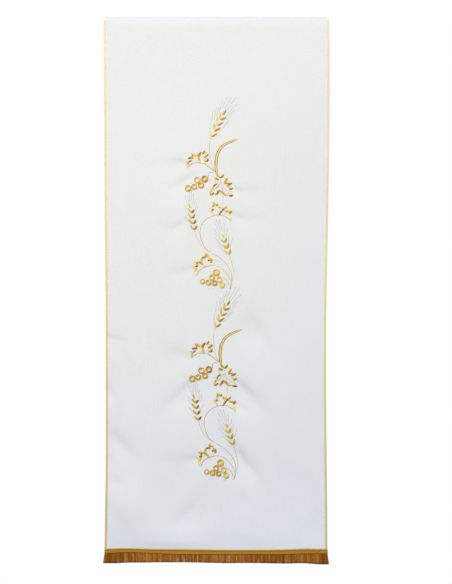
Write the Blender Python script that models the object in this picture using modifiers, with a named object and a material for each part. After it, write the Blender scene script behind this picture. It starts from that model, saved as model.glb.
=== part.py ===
"""Lectern cover: a long white cloth that hangs down in front, with its top turned back over the edge that
carries it. Gold edging is folded round both sides and the lower edge. A woven heading lies over the lower
edge, and a brush fringe hangs from behind it.

Metres, +Z up. The front faces -Y. The origin is the middle of the line on which the turned top rests.
Sizes across are taken from the middle line, to the right as seen from the front. Depths are taken down
from the crest of the cloth.
"""

import math
import random
from collections import namedtuple

import bmesh
import bpy
import numpy as np

# Cloth
CLOTH_HALF = 0.2490
CLOTH_THICK = 0.0012
TURN_INNER = 0.0100
TURN_MIDDLE = TURN_INNER + CLOTH_THICK / 2
RETURN_LENGTH = 0.0320
CREST = CLOTH_THICK / 2

# Gaps that keep the pieces apart
PIECE_GAP = 0.00035

# Edging, a folded tape
EDGING_FACE = 0.0050
EDGING_WALL = 0.0005
EDGING_OUT = CLOTH_THICK / 2 + PIECE_GAP + EDGING_WALL / 2

# Lower edge: the tape's upper edge, the cloth's cut edge, and the heading over them
HEM_DEPTH = 1.1778
HEM_TURN_UP = 0.0066
CLOTH_DEPTH = HEM_DEPTH + HEM_TURN_UP
TAPE_SHOWING = 0.0021
HEADING_TALL = 0.0106
HEADING_THICK = 0.0012
HEADING_OUT = EDGING_OUT + EDGING_WALL / 2 + PIECE_GAP + HEADING_THICK / 2
HEADING_PAST_LEFT = 0.0032
HEADING_PAST_RIGHT = 0.0015

# Fringe: the backing strip behind the heading, and the locks that hang from it
STRIP_TOP = CLOTH_DEPTH + PIECE_GAP + EDGING_WALL + PIECE_GAP
STRIP_FOOT = HEM_DEPTH + TAPE_SHOWING + HEADING_TALL - 0.0006
STRIP_THICK = EDGING_OUT + EDGING_WALL / 2
STRIP_OUT = STRIP_THICK / 2
LOCK_COUNT = 124
LOCK_SHARE = 0.80
LOCK_LENGTH = 0.0212
LOCK_TIP_WIDE = 0.0028
LOCK_TIP_THICK = 0.0019
LOCK_UNEVEN = 0.0007
LOCK_SWAY = 0.00016
FLARE = 0.0026
FLARE_POWER = 10
JOIN_ACROSS = -0.0726
JOIN_SPREAD = 0.0006
JOIN_REACH = 0.0060

# Side outline, in which the embroidered middle draws the cloth in
Outline = namedtuple("Outline", "depth left right")
OUTLINE = (
    Outline(0.000, 0.2500, 0.2500),
    Outline(0.160, 0.2495, 0.2508),
    Outline(0.320, 0.2484, 0.2493),
    Outline(0.480, 0.2473, 0.2465),
    Outline(0.640, 0.2457, 0.2435),
    Outline(0.800, 0.2454, 0.2428),
    Outline(0.960, 0.2454, 0.2440),
    Outline(1.070, 0.2463, 0.2451),
    Outline(1.180, 0.2482, 0.2458),
)

# How far the lower edge hangs below its mean line
Dip = namedtuple("Dip", "across down")
DIPS = (
    Dip(-0.256, 0.0002),
    Dip(-0.239, -0.0014),
    Dip(-0.221, -0.0023),
    Dip(-0.195, -0.0026),
    Dip(-0.168, -0.0019),
    Dip(-0.150, -0.0011),
    Dip(-0.120, -0.0007),
    Dip(-0.080, -0.0003),
    Dip(-0.044, 0.0001),
    Dip(0.000, 0.0008),
    Dip(0.044, 0.0012),
    Dip(0.097, 0.0010),
    Dip(0.133, 0.0005),
    Dip(0.168, -0.0004),
    Dip(0.204, -0.0011),
    Dip(0.230, -0.0007),
    Dip(0.256, -0.0001),
)
DIP_STARTS = 0.900

# Folds of the hanging cloth. fall is the angle in degrees at which a fold runs down to the right,
# reach and width are half its length and breadth, and rise is minus for a trough. The cloth sags, so
# the side of a fold that faces up is wider than the one that faces down, by SAG where it runs level
SAG = 1.6
Fold = namedtuple("Fold", "name across depth fall reach width rise")
FOLDS = (
    Fold("drawn_in_middle", 0.000, 0.640, 90, 0.430, 0.060, -0.0016),
    Fold("upper_left_pucker", -0.096, 0.330, 0, 0.030, 0.014, -0.0013),
    Fold("upper_left_second", -0.090, 0.376, -30, 0.030, 0.013, -0.0012),
    Fold("upper_left_third", -0.094, 0.470, -14, 0.030, 0.014, -0.0011),
    Fold("upper_left_fourth", -0.082, 0.570, -8, 0.026, 0.014, -0.0012),
    Fold("upper_right_pucker", 0.074, 0.389, 4, 0.028, 0.013, -0.0013),
    Fold("upper_right_second", 0.076, 0.448, 22, 0.032, 0.014, -0.0013),
    Fold("middle_left_trough", -0.090, 0.753, 13, 0.035, 0.018, -0.0021),
    Fold("middle_right_trough", 0.087, 0.699, 63, 0.044, 0.020, -0.0042),
    Fold("left_diagonal", -0.081, 0.843, -43, 0.048, 0.017, -0.0037),
    Fold("right_diagonal", 0.070, 0.842, 46, 0.046, 0.017, -0.0048),
    Fold("lower_left_trough", -0.078, 0.990, -5, 0.038, 0.019, -0.0029),
    Fold("lower_right_diagonal", 0.060, 0.988, 51, 0.054, 0.016, -0.0046),
    Fold("left_side_hollow", -0.111, 1.060, -42, 0.060, 0.032, -0.0021),
    Fold("right_side_hollow", 0.165, 1.035, 28, 0.090, 0.034, -0.0014),
    Fold("foot_left_crease", -0.058, 1.100, -44, 0.048, 0.018, -0.0025),
    Fold("foot_right_crease", 0.063, 1.072, 56, 0.024, 0.013, -0.0008),
    Fold("foot_left_lobe", -0.110, 1.161, 2, 0.085, 0.014, 0.0032),
    Fold("foot_middle_lobe", 0.004, 1.135, 0, 0.060, 0.026, 0.0012),
    Fold("foot_right_lobe", 0.095, 1.150, 18, 0.070, 0.024, 0.0020),
    Fold("corner_left_swell", -0.203, 1.093, 57, 0.060, 0.030, 0.0064),
    Fold("corner_right_crease", 0.222, 1.130, -60, 0.046, 0.020, -0.0010),
)
CALM_TOP = 0.020
CALM_TOP_ENDS = 0.150

# Rows and columns of the cloth's grid, closer where it is creased
Band = namedtuple("Band", "start end cells")
COLUMN_BANDS = (
    Band(-CLOTH_HALF, -CLOTH_HALF + EDGING_FACE, 1),
    Band(-CLOTH_HALF + EDGING_FACE, -0.117, 4),
    Band(-0.117, 0.117, 18),
    Band(0.117, CLOTH_HALF - EDGING_FACE, 4),
    Band(CLOTH_HALF - EDGING_FACE, CLOTH_HALF, 1),
)
FRONT_STARTS = TURN_MIDDLE
ROW_BANDS = (
    Band(FRONT_STARTS, 0.290, 6),
    Band(0.290, 0.610, 15),
    Band(0.610, 1.110, 31),
    Band(1.110, HEM_DEPTH, 4),
    Band(HEM_DEPTH, CLOTH_DEPTH, 1),
)
TURN_STEPS = 3

# Colours, roughness
Finish = namedtuple("Finish", "colour roughness metallic")
WHITE_CLOTH = Finish((0.83, 0.84, 0.84), 0.72, 0.0)
GOLD_TAPE = Finish((0.72, 0.58, 0.24), 0.48, 0.15)
GOLD_HEADING = Finish((0.42, 0.24, 0.06), 0.55, 0.10)
COPPER_FRINGE = Finish((0.23, 0.11, 0.03), 0.62, 0.05)


def curve_through(at, places, values):
    """A smooth curve through a table's points, read at one place or an array of them."""
    places = np.asarray(places)
    values = np.asarray(values)
    slopes = np.gradient(values, places)
    cell = np.clip(np.searchsorted(places, at) - 1, 0, len(places) - 2)
    span = places[cell + 1] - places[cell]
    t = np.clip((at - places[cell]) / span, 0.0, 1.0)
    start = (1 + 2 * t) * (1 - t) ** 2 * values[cell] + t * (1 - t) ** 2 * span * slopes[cell]
    end = t * t * (3 - 2 * t) * values[cell + 1] + t * t * (t - 1) * span * slopes[cell + 1]
    return start + end


def ease(t):
    """0 up to t = 0, 1 from t = 1, and a soft step between."""
    t = min(max(t, 0.0), 1.0)
    return t * t * (3 - 2 * t)


def evenly(bands):
    """The places that a table of bands divides into, each once."""
    places = [bands[0].start]
    for band in bands:
        step = (band.end - band.start) / band.cells
        places += [band.start + step * (k + 1) for k in range(band.cells)]
    return places


def drawn_in(across, depth):
    """The real place across, where the outline at that depth is narrower than at the crest."""
    depths = [row.depth for row in OUTLINE]
    side = [row.left if across < 0 else row.right for row in OUTLINE]
    return across * curve_through(depth, depths, side) / OUTLINE[0].left


def dip(across):
    """How far the lower edge hangs below its mean line."""
    return curve_through(across, [row.across for row in DIPS], [row.down for row in DIPS])


def relief(across, depth):
    """How far the front of the cloth swells out of its plane, the sum of its folds."""
    depth = min(depth, HEM_DEPTH)
    swell = 0.0
    for fold in FOLDS:
        slant = math.radians(fold.fall)
        right = across - fold.across
        down = depth - fold.depth
        along = right * math.cos(slant) + down * math.sin(slant)
        athwart = down * math.cos(slant) - right * math.sin(slant)
        faces_up = athwart * fold.rise < 0
        width = fold.width * (1 + faces_up * SAG * math.sqrt(math.cos(slant)))
        swell += fold.rise * math.exp(-((along / fold.reach) ** 2) - (athwart / width) ** 2)
    return swell * ease((depth - CALM_TOP) / (CALM_TOP_ENDS - CALM_TOP))


def hang(across, depth, out=0.0):
    """A point of the front, out from the cloth's middle surface."""
    real_across = drawn_in(across, depth)
    real_depth = depth + dip(real_across) * ease((depth - DIP_STARTS) / (HEM_DEPTH - DIP_STARTS))
    return (real_across, -(TURN_MIDDLE + out + relief(real_across, depth)), CREST - real_depth)


def turn_over(across, angle, out=0.0):
    """A point of the turned top. angle is 90 degrees at the front, 0 at the crest and -90 behind."""
    radius = TURN_MIDDLE + out
    slant = math.radians(angle)
    return (across, -radius * math.sin(slant), radius * math.cos(slant) - TURN_INNER)


def behind(across, out=0.0):
    """A point of the return's free edge, behind."""
    return (across, TURN_MIDDLE + out, -TURN_INNER - RETURN_LENGTH)


def cloth_rows():
    """One function for each row of the cloth, from the free edge behind to the lower edge in front."""
    rows = [behind]
    for step in range(-TURN_STEPS, TURN_STEPS):
        rows.append(lambda across, out=0.0, a=90 * step / TURN_STEPS: turn_over(across, a, out))
    for depth in evenly(ROW_BANDS):
        rows.append(lambda across, out=0.0, d=depth: hang(across, d, out))
    return rows


def material(name, finish):
    """A plain surface of the piece's own colour."""
    made = bpy.data.materials.new(name)
    made.use_nodes = True
    shader = made.node_tree.nodes["Principled BSDF"]
    shader.inputs["Base Color"].default_value = (*finish.colour, 1.0)
    shader.inputs["Roughness"].default_value = finish.roughness
    shader.inputs["Metallic"].default_value = finish.metallic
    return made


def piece(name, shape, finish, collection):
    """One sub-part from a bmesh, in its collection and material."""
    mesh = bpy.data.meshes.new(name)
    shape.to_mesh(mesh)
    shape.free()
    mesh.shade_smooth()
    mesh.set_sharp_from_angle(angle=math.radians(40))
    made = bpy.data.objects.new(name, mesh)
    made.data.materials.append(material(name + "_finish", finish))
    collection.objects.link(made)
    return made


def grid(cells_across, cells_down, place):
    """An open grid, each of whose points is moved to place(column, row)."""
    shape = bmesh.new()
    bmesh.ops.create_grid(shape, x_segments=cells_across, y_segments=cells_down, size=1.0)
    for point in shape.verts:
        column = round((point.co.x + 1) / 2 * cells_across)
        row = round((point.co.y + 1) / 2 * cells_down)
        point.co = place(column, row)
    return shape


def thicken(made, thickness):
    """Gives an open sheet its thickness, half to each side."""
    wall = made.modifiers.new("Thickness", "SOLIDIFY")
    wall.thickness = thickness
    wall.offset = 0.0
    wall.use_even_offset = True
    wall.use_quality_normals = True


def build_cloth(collection):
    """The white panel, from the free edge behind, over the turn and down to its lower edge."""
    columns = evenly(COLUMN_BANDS)
    rows = cloth_rows()
    shape = grid(len(columns) - 1, len(rows) - 1, lambda i, j: rows[j](columns[i]))
    thicken(piece("cloth_panel", shape, WHITE_CLOTH, collection), CLOTH_THICK)


def build_side_edging(name, side, collection):
    """The tape folded round one side of the cloth, all the way along it."""
    face = side * (CLOTH_HALF - EDGING_FACE)
    fold = side * (CLOTH_HALF + PIECE_GAP + EDGING_WALL / 2)
    section = ((face, EDGING_OUT), (fold, EDGING_OUT), (fold, -EDGING_OUT), (face, -EDGING_OUT))
    rows = cloth_rows()
    shape = grid(len(section) - 1, len(rows) - 1, lambda i, j: rows[j](*section[i]))
    thicken(piece(name, shape, GOLD_TAPE, collection), EDGING_WALL)


def build_lower_edging(collection):
    """The tape folded round the lower edge, between the two side tapes."""
    end = CLOTH_HALF - EDGING_FACE - PIECE_GAP
    columns = [-end, *evenly(COLUMN_BANDS)[2:-2], end]
    fold = CLOTH_DEPTH + PIECE_GAP + EDGING_WALL / 2
    section = (
        (HEM_DEPTH, EDGING_OUT),
        (fold, EDGING_OUT),
        (fold, -EDGING_OUT),
        (HEM_DEPTH, -EDGING_OUT),
    )
    shape = grid(
        len(columns) - 1, len(section) - 1, lambda i, j: hang(columns[i], section[j][0], section[j][1])
    )
    thicken(piece("edging_bottom", shape, GOLD_TAPE, collection), EDGING_WALL)


def heading_columns():
    """The cloth's columns, with the ends moved out to the heading's own."""
    columns = evenly(COLUMN_BANDS)
    columns[0] -= HEADING_PAST_LEFT
    columns[-1] += HEADING_PAST_RIGHT
    return columns


def build_heading(collection):
    """The woven band that lies over the lower edge and hangs a little below it."""
    columns = heading_columns()
    top = HEM_DEPTH + TAPE_SHOWING
    rows = (top, top + HEADING_TALL / 2, top + HEADING_TALL)
    shape = grid(
        len(columns) - 1, len(rows) - 1, lambda i, j: hang(columns[i], rows[j], HEADING_OUT)
    )
    thicken(piece("fringe_heading", shape, GOLD_HEADING, collection), HEADING_THICK)


def beside_heading(across, depth, out):
    """A point behind the heading, on the straight lines between the heading's columns."""
    columns = heading_columns()
    cell = min(max(int(np.searchsorted(columns, across)) - 1, 0), len(columns) - 2)
    share = (across - columns[cell]) / (columns[cell + 1] - columns[cell])
    start = np.array(hang(columns[cell], depth, out))
    end = np.array(hang(columns[cell + 1], depth, out))
    return start + share * (end - start)


def lock_tip(middle, chance):
    """Where a lock's tip hangs: how far it leans to the right, and its length."""
    spread = math.exp(-(((middle - JOIN_ACROSS) / JOIN_REACH) ** 2))
    lean = FLARE * math.copysign(abs(middle / CLOTH_HALF) ** FLARE_POWER, middle)
    lean += math.copysign(JOIN_SPREAD * spread, middle - JOIN_ACROSS)
    lean += chance.uniform(-LOCK_SWAY, LOCK_SWAY)
    return lean, LOCK_LENGTH + chance.uniform(-LOCK_UNEVEN, LOCK_UNEVEN)


def build_fringe(collection):
    """The backing strip with its locks, one body: the strip's foot is parted into cells, and every
    other one is drawn down into a lock."""
    chance = random.Random(11)
    columns = heading_columns()
    pitch = (columns[-1] - columns[0]) / (LOCK_COUNT - 1 + LOCK_SHARE)
    edges = []
    for k in range(LOCK_COUNT):
        edges += [columns[0] + pitch * k, columns[0] + pitch * (k + LOCK_SHARE)]
    outs = (STRIP_OUT - STRIP_THICK / 2, STRIP_OUT + STRIP_THICK / 2)
    shape = grid(len(edges) - 1, 1, lambda i, j: beside_heading(edges[i], STRIP_FOOT, outs[j]))
    foot = sorted(shape.faces, key=lambda face: face.calc_center_median().x)
    raised = bmesh.ops.extrude_face_region(shape, geom=shape.faces[:], use_keep_orig=True)
    for point in (item for item in raised["geom"] if isinstance(item, bmesh.types.BMVert)):
        point.co.z += STRIP_FOOT - STRIP_TOP
    locks = bmesh.ops.extrude_discrete_faces(shape, faces=foot[::2])["faces"]
    for face in locks:
        middle = face.calc_center_median().copy()
        lean, length = lock_tip(middle.x, chance)
        for point in face.verts:
            side = math.copysign(LOCK_TIP_WIDE / 2, point.co.x - middle.x)
            front = math.copysign(LOCK_TIP_THICK / 2, point.co.y - middle.y)
            point.co = (middle.x + lean + side, middle.y + front, middle.z - length)
    bmesh.ops.recalc_face_normals(shape, faces=shape.faces[:])
    piece("fringe", shape, COPPER_FRINGE, collection)


def main():
    """Clears the scene and builds the cover's pieces."""
    for old in list(bpy.data.objects):
        bpy.data.objects.remove(old, do_unlink=True)
    collection = bpy.data.collections.new("Lectern Cover")
    bpy.context.scene.collection.children.link(collection)
    build_cloth(collection)
    build_side_edging("edging_left", -1, collection)
    build_side_edging("edging_right", 1, collection)
    build_lower_edging(collection)
    build_heading(collection)
    build_fringe(collection)


main()
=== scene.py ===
"""Lectern cover, dressed: white cloth with gold edging, a woven heading, a brush fringe and gold embroidery.

Metres, +Z up, the front faces -Y. The origin is the middle of the line on which the turned top rests.
Sizes across are taken from the middle line to the right, and depths down from the crest of the cloth.
The design of the embroidery is given in millimetres, to the right of and up from the foot of each repeat.
"""

import logging
import math
from dataclasses import dataclass
from enum import Enum
from typing import NamedTuple, Sequence

import bpy
import numpy as np
from numpy.typing import NDArray
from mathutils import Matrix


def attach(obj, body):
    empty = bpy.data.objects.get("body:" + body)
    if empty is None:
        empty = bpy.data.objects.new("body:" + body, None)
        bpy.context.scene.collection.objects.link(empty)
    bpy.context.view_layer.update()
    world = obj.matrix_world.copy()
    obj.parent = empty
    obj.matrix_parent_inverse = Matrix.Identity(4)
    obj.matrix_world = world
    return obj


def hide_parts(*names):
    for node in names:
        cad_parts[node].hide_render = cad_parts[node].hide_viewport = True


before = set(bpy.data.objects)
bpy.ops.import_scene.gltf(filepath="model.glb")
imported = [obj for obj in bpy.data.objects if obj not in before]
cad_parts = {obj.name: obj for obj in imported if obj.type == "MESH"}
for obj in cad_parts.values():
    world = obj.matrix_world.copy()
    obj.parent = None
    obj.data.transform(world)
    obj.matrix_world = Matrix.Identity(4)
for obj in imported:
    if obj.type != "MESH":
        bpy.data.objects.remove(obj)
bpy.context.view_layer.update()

LOG = logging.getLogger("lectern_cover")
Array = NDArray[np.float64]
MM = 0.001


class Side(Enum):
    """The two sides of the cloth, as the sign of their place across."""

    LEFT = -1
    RIGHT = 1


class Taper(Enum):
    """How a column of satin stitches narrows along its length."""

    LENS = "pointed at both ends"
    GRAIN = "full, with a blunt tip"
    BLADE = "wide at the foot, drawn out to a long tip"
    ROUND = "even, with short round ends"


class Outline(NamedTuple):
    """Half widths of the cloth at one depth, left and right of the middle."""

    depth: float
    left: float
    right: float


class Dip(NamedTuple):
    """How far the lower edge hangs below its mean line at one place across."""

    across: float
    down: float


class Fold(NamedTuple):
    """One soft trough (minus rise) or ridge. fall is the angle in degrees at which it runs down to the
    right, and reach and width are half its length and breadth."""

    across: float
    depth: float
    fall: float
    reach: float
    width: float
    rise: float


class Band(NamedTuple):
    """A stretch of a grid, parted into even cells."""

    start: float
    end: float
    cells: int


OUTLINE = (
    Outline(0.000, 0.2500, 0.2500),
    Outline(0.160, 0.2495, 0.2508),
    Outline(0.320, 0.2484, 0.2493),
    Outline(0.480, 0.2473, 0.2465),
    Outline(0.640, 0.2457, 0.2435),
    Outline(0.800, 0.2454, 0.2428),
    Outline(0.960, 0.2454, 0.2440),
    Outline(1.070, 0.2463, 0.2451),
    Outline(1.180, 0.2482, 0.2458),
)
DIPS = (
    Dip(-0.256, 0.0002),
    Dip(-0.239, -0.0014),
    Dip(-0.221, -0.0023),
    Dip(-0.195, -0.0026),
    Dip(-0.168, -0.0019),
    Dip(-0.150, -0.0011),
    Dip(-0.120, -0.0007),
    Dip(-0.080, -0.0003),
    Dip(-0.044, 0.0001),
    Dip(0.000, 0.0008),
    Dip(0.044, 0.0012),
    Dip(0.097, 0.0010),
    Dip(0.133, 0.0005),
    Dip(0.168, -0.0004),
    Dip(0.204, -0.0011),
    Dip(0.230, -0.0007),
    Dip(0.256, -0.0001),
)

# Further sag of the heading's foot, and the depth at which the fringe ends
HEADING_SAG = (
    Dip(-0.240, -0.0003),
    Dip(-0.150, -0.0010),
    Dip(-0.080, 0.0011),
    Dip(0.000, 0.0003),
    Dip(0.080, -0.0003),
    Dip(0.150, 0.0006),
    Dip(0.240, 0.0000),
)
FRINGE_ENDS = (
    Dip(-0.252, 1.2100),
    Dip(-0.221, 1.2096),
    Dip(-0.204, 1.2088),
    Dip(-0.168, 1.2082),
    Dip(-0.062, 1.2080),
    Dip(-0.027, 1.2085),
    Dip(0.027, 1.2096),
    Dip(0.062, 1.2094),
    Dip(0.151, 1.2103),
    Dip(0.200, 1.2102),
    Dip(0.221, 1.2118),
    Dip(0.252, 1.2125),
)

# The side of a fold that faces up is wider than the one that faces down, by this where it runs level
SAG = 1.6

# Main folds, the same as those of the part's own cloth
FOLDS = (
    Fold(0.000, 0.640, 90, 0.430, 0.060, -0.0016),
    Fold(-0.096, 0.330, 0, 0.030, 0.014, -0.0013),
    Fold(-0.090, 0.376, -30, 0.030, 0.013, -0.0012),
    Fold(-0.094, 0.470, -14, 0.030, 0.014, -0.0011),
    Fold(-0.082, 0.570, -8, 0.026, 0.014, -0.0012),
    Fold(0.074, 0.389, 4, 0.028, 0.013, -0.0013),
    Fold(0.076, 0.448, 22, 0.032, 0.014, -0.0013),
    Fold(-0.090, 0.753, 13, 0.035, 0.018, -0.0021),
    Fold(0.087, 0.699, 63, 0.044, 0.020, -0.0042),
    Fold(-0.081, 0.843, -43, 0.048, 0.017, -0.0037),
    Fold(0.070, 0.842, 46, 0.046, 0.017, -0.0048),
    Fold(-0.078, 0.990, -5, 0.038, 0.019, -0.0029),
    Fold(0.060, 0.988, 51, 0.054, 0.016, -0.0046),
    Fold(-0.111, 1.060, -42, 0.060, 0.032, -0.0021),
    Fold(0.165, 1.035, 28, 0.090, 0.034, -0.0014),
    Fold(-0.058, 1.100, -44, 0.048, 0.018, -0.0025),
    Fold(0.063, 1.072, 56, 0.024, 0.013, -0.0008),
    Fold(-0.110, 1.161, 2, 0.085, 0.014, 0.0032),
    Fold(0.004, 1.135, 0, 0.060, 0.026, 0.0012),
    Fold(0.095, 1.150, 18, 0.070, 0.024, 0.0020),
    Fold(-0.203, 1.093, 57, 0.060, 0.030, 0.0064),
    Fold(0.222, 1.130, -60, 0.046, 0.020, -0.0010),
)

# Finer creases: scallops along the left edge, and puckers that run out from the embroidery
CREASES = (
    Fold(-0.232, 0.714, 16, 0.022, 0.009, -0.0018),
    Fold(-0.238, 0.832, 70, 0.022, 0.009, -0.0018),
    Fold(-0.214, 0.944, 50, 0.036, 0.012, -0.0034),
    Fold(-0.236, 0.985, 70, 0.020, 0.009, -0.0016),
    Fold(-0.228, 1.027, 50, 0.024, 0.009, -0.0014),
    Fold(-0.234, 1.135, 70, 0.036, 0.012, 0.0022),
    Fold(-0.077, 0.325, 22, 0.015, 0.006, -0.0012),
    Fold(-0.067, 0.362, -34, 0.024, 0.006, -0.0011),
    Fold(-0.0145, 0.366, -30, 0.006, 0.004, -0.0009),
    Fold(0.044, 0.385, 14, 0.014, 0.005, -0.0012),
    Fold(0.052, 0.445, 24, 0.020, 0.006, -0.0012),
    Fold(-0.0150, 0.432, -70, 0.007, 0.004, -0.0009),
    Fold(-0.086, 0.465, -35, 0.018, 0.006, -0.0010),
    Fold(-0.066, 0.562, -24, 0.020, 0.006, -0.0013),
    Fold(0.001, 0.545, 40, 0.010, 0.004, -0.0009),
    Fold(-0.068, 0.749, 13, 0.018, 0.007, -0.0011),
    Fold(-0.060, 0.817, -43, 0.022, 0.007, -0.0012),
    Fold(0.054, 0.817, 46, 0.020, 0.007, -0.0018),
    Fold(0.053, 0.866, 30, 0.016, 0.006, -0.0011),
    Fold(0.052, 0.972, 51, 0.032, 0.008, -0.0018),
    Fold(-0.054, 0.979, -8, 0.018, 0.006, -0.0011),
)


def ease(t: Array) -> Array:
    """0 up to t = 0, 1 from t = 1, and the cubic step 3t^2 - 2t^3 between."""
    t = np.clip(t, 0.0, 1.0)
    return t * t * (3 - 2 * t)


def curve_through(at: Array, places: Sequence[float], values: Sequence[float]) -> Array:
    """A smooth curve through a table: in each span a cubic that meets both values, with the slopes that
    the neighbouring rows give.

    Args:
        at: where the curve is read.
        places: the table's rising places.
        values: its value at each place.

    Returns:
        The curve's value at each point of at.
    """
    places = np.asarray(places, float)
    values = np.asarray(values, float)
    slopes = np.gradient(values, places)
    cell = np.clip(np.searchsorted(places, at) - 1, 0, len(places) - 2)
    span = places[cell + 1] - places[cell]
    t = np.clip((at - places[cell]) / span, 0.0, 1.0)
    start = (1 + 2 * t) * (1 - t) ** 2 * values[cell] + t * (1 - t) ** 2 * span * slopes[cell]
    end = t * t * (3 - 2 * t) * values[cell + 1] + t * t * (t - 1) * span * slopes[cell + 1]
    return start + end


def dipped(table: Sequence[Dip], across: Array) -> Array:
    """The smooth curve through a table of dips, read at places across."""
    return curve_through(across, [row.across for row in table], [row.down for row in table])


def evenly(bands: Sequence[Band]) -> Array:
    """The places that a table of bands divides into, each once."""
    steps = [np.linspace(band.start, band.end, band.cells + 1)[1:] for band in bands]
    return np.concatenate([[bands[0].start], *steps])


def drift(at: Array, pitch: float, chance: np.random.Generator) -> Array:
    """A slow wander between -1 and 1: random knots, one each pitch, joined by straight lines.

    Args:
        at: where the wander is read.
        pitch: distance between the knots.
        chance: the source of the knots.

    Returns:
        The wander at each point of at.
    """
    low = float(np.min(at))
    count = int((float(np.max(at)) - low) / pitch) + 2
    return np.interp(at, low + pitch * np.arange(count), chance.uniform(-1, 1, count))


def finish_values(shape: tuple, first: object = 0.0, second: object = 0.0, third: object = 0.0) -> Array:
    """The three values that a finish reads at each point of a shape, each a number or an array that fits."""
    return np.stack([np.broadcast_to(value, shape) for value in (first, second, third)], axis=-1)


@dataclass(frozen=True)
class Drape:
    """The form in which the cloth hangs. Every piece is laid on it, so all of them share its folds."""

    cloth_half: float = 0.2490
    cloth_thick: float = 0.0012
    turn_inner: float = 0.0100
    return_length: float = 0.0320
    hem_depth: float = 1.1778
    hem_turn_up: float = 0.0066
    calm_top: float = 0.020
    calm_top_ends: float = 0.150
    dip_starts: float = 0.900

    @property
    def turn_middle(self) -> float:
        """Radius of the turn, to the middle of the cloth."""
        return self.turn_inner + self.cloth_thick / 2

    @property
    def cloth_depth(self) -> float:
        """Depth of the cloth's cut lower edge."""
        return self.hem_depth + self.hem_turn_up

    @property
    def behind_run(self) -> float:
        """Run of the free edge behind. A run is the way along the cloth from where its front starts to
        hang: more than 0 down the front, less than 0 over the turn and down behind."""
        return -(math.pi * self.turn_middle + self.return_length)

    def half_width_share(self, across: Array, depth: Array) -> Array:
        """How wide the cloth hangs at a depth, on that side, as a share of its width at the crest."""
        depths = [row.depth for row in OUTLINE]
        left = curve_through(depth, depths, [row.left for row in OUTLINE])
        right = curve_through(depth, depths, [row.right for row in OUTLINE])
        return np.where(across < 0, left, right) / OUTLINE[0].left

    def relief(self, across: Array, depth: Array) -> Array:
        """How far the front swells out: the sum of the folds, each its rise times a bell curve along it
        and another athwart it, wider on the side that faces up, eased in below the crest.

        Args:
            across: places across the front.
            depth: depths below the crest.

        Returns:
            The swell towards the viewer.
        """
        depth = np.minimum(depth, self.hem_depth)
        swell = np.zeros(np.broadcast(across, depth).shape)
        for fold in FOLDS + CREASES:
            slant = math.radians(fold.fall)
            right = across - fold.across
            down = depth - fold.depth
            along = right * math.cos(slant) + down * math.sin(slant)
            athwart = down * math.cos(slant) - right * math.sin(slant)
            faces_up = athwart * fold.rise < 0
            width = fold.width * (1 + faces_up * SAG * math.sqrt(math.cos(slant)))
            swell += fold.rise * np.exp(-((along / fold.reach) ** 2) - (athwart / width) ** 2)
        return swell * ease((depth - self.calm_top) / (self.calm_top_ends - self.calm_top))

    def front(self, across: Array, depth: Array, out: Array) -> Array:
        """Points of the hanging front: drawn in at the sides, dipped at the foot, swollen by the folds.

        Args:
            across: places across the cloth before it is drawn in.
            depth: depths below the crest.
            out: distance out from the cloth's middle surface.

        Returns:
            The points, with x, y and z last.
        """
        real = across * self.half_width_share(across, depth)
        dip = dipped(DIPS, real)
        share = ease((depth - self.dip_starts) / (self.hem_depth - self.dip_starts))
        y = -(self.turn_middle + out + self.relief(real, depth))
        z = self.cloth_thick / 2 - depth - dip * share
        return np.stack(np.broadcast_arrays(real, y, z), axis=-1)

    def lay(self, across: Array, run: Array, out: Array) -> Array:
        """Points anywhere on the cloth: the front from run 0, a half circle over the turn before it, and
        the straight return before that.

        Args:
            across: places across the cloth.
            run: the way along the cloth from where the front starts to hang.
            out: distance out from the cloth's middle surface.

        Returns:
            The points, with x, y and z last.
        """
        across, run, out = np.broadcast_arrays(across, run, out)
        radius = self.turn_middle + out
        angle = math.pi / 2 + np.clip(run / self.turn_middle, -math.pi, 0)
        past = np.minimum(run + math.pi * self.turn_middle, 0)
        turned = np.stack(
            [across, -radius * np.sin(angle), radius * np.cos(angle) - self.turn_inner + past], axis=-1
        )
        hung = self.front(across, np.maximum(run, 0) + self.turn_middle, out)
        return np.where(run[..., None] > 0, hung, turned)

    def before_drawn_in(self, across: Array, depth: Array) -> Array:
        """The place across before the cloth is drawn in, for one that is measured on the hung cloth."""
        return across / self.half_width_share(across, depth)


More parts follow.
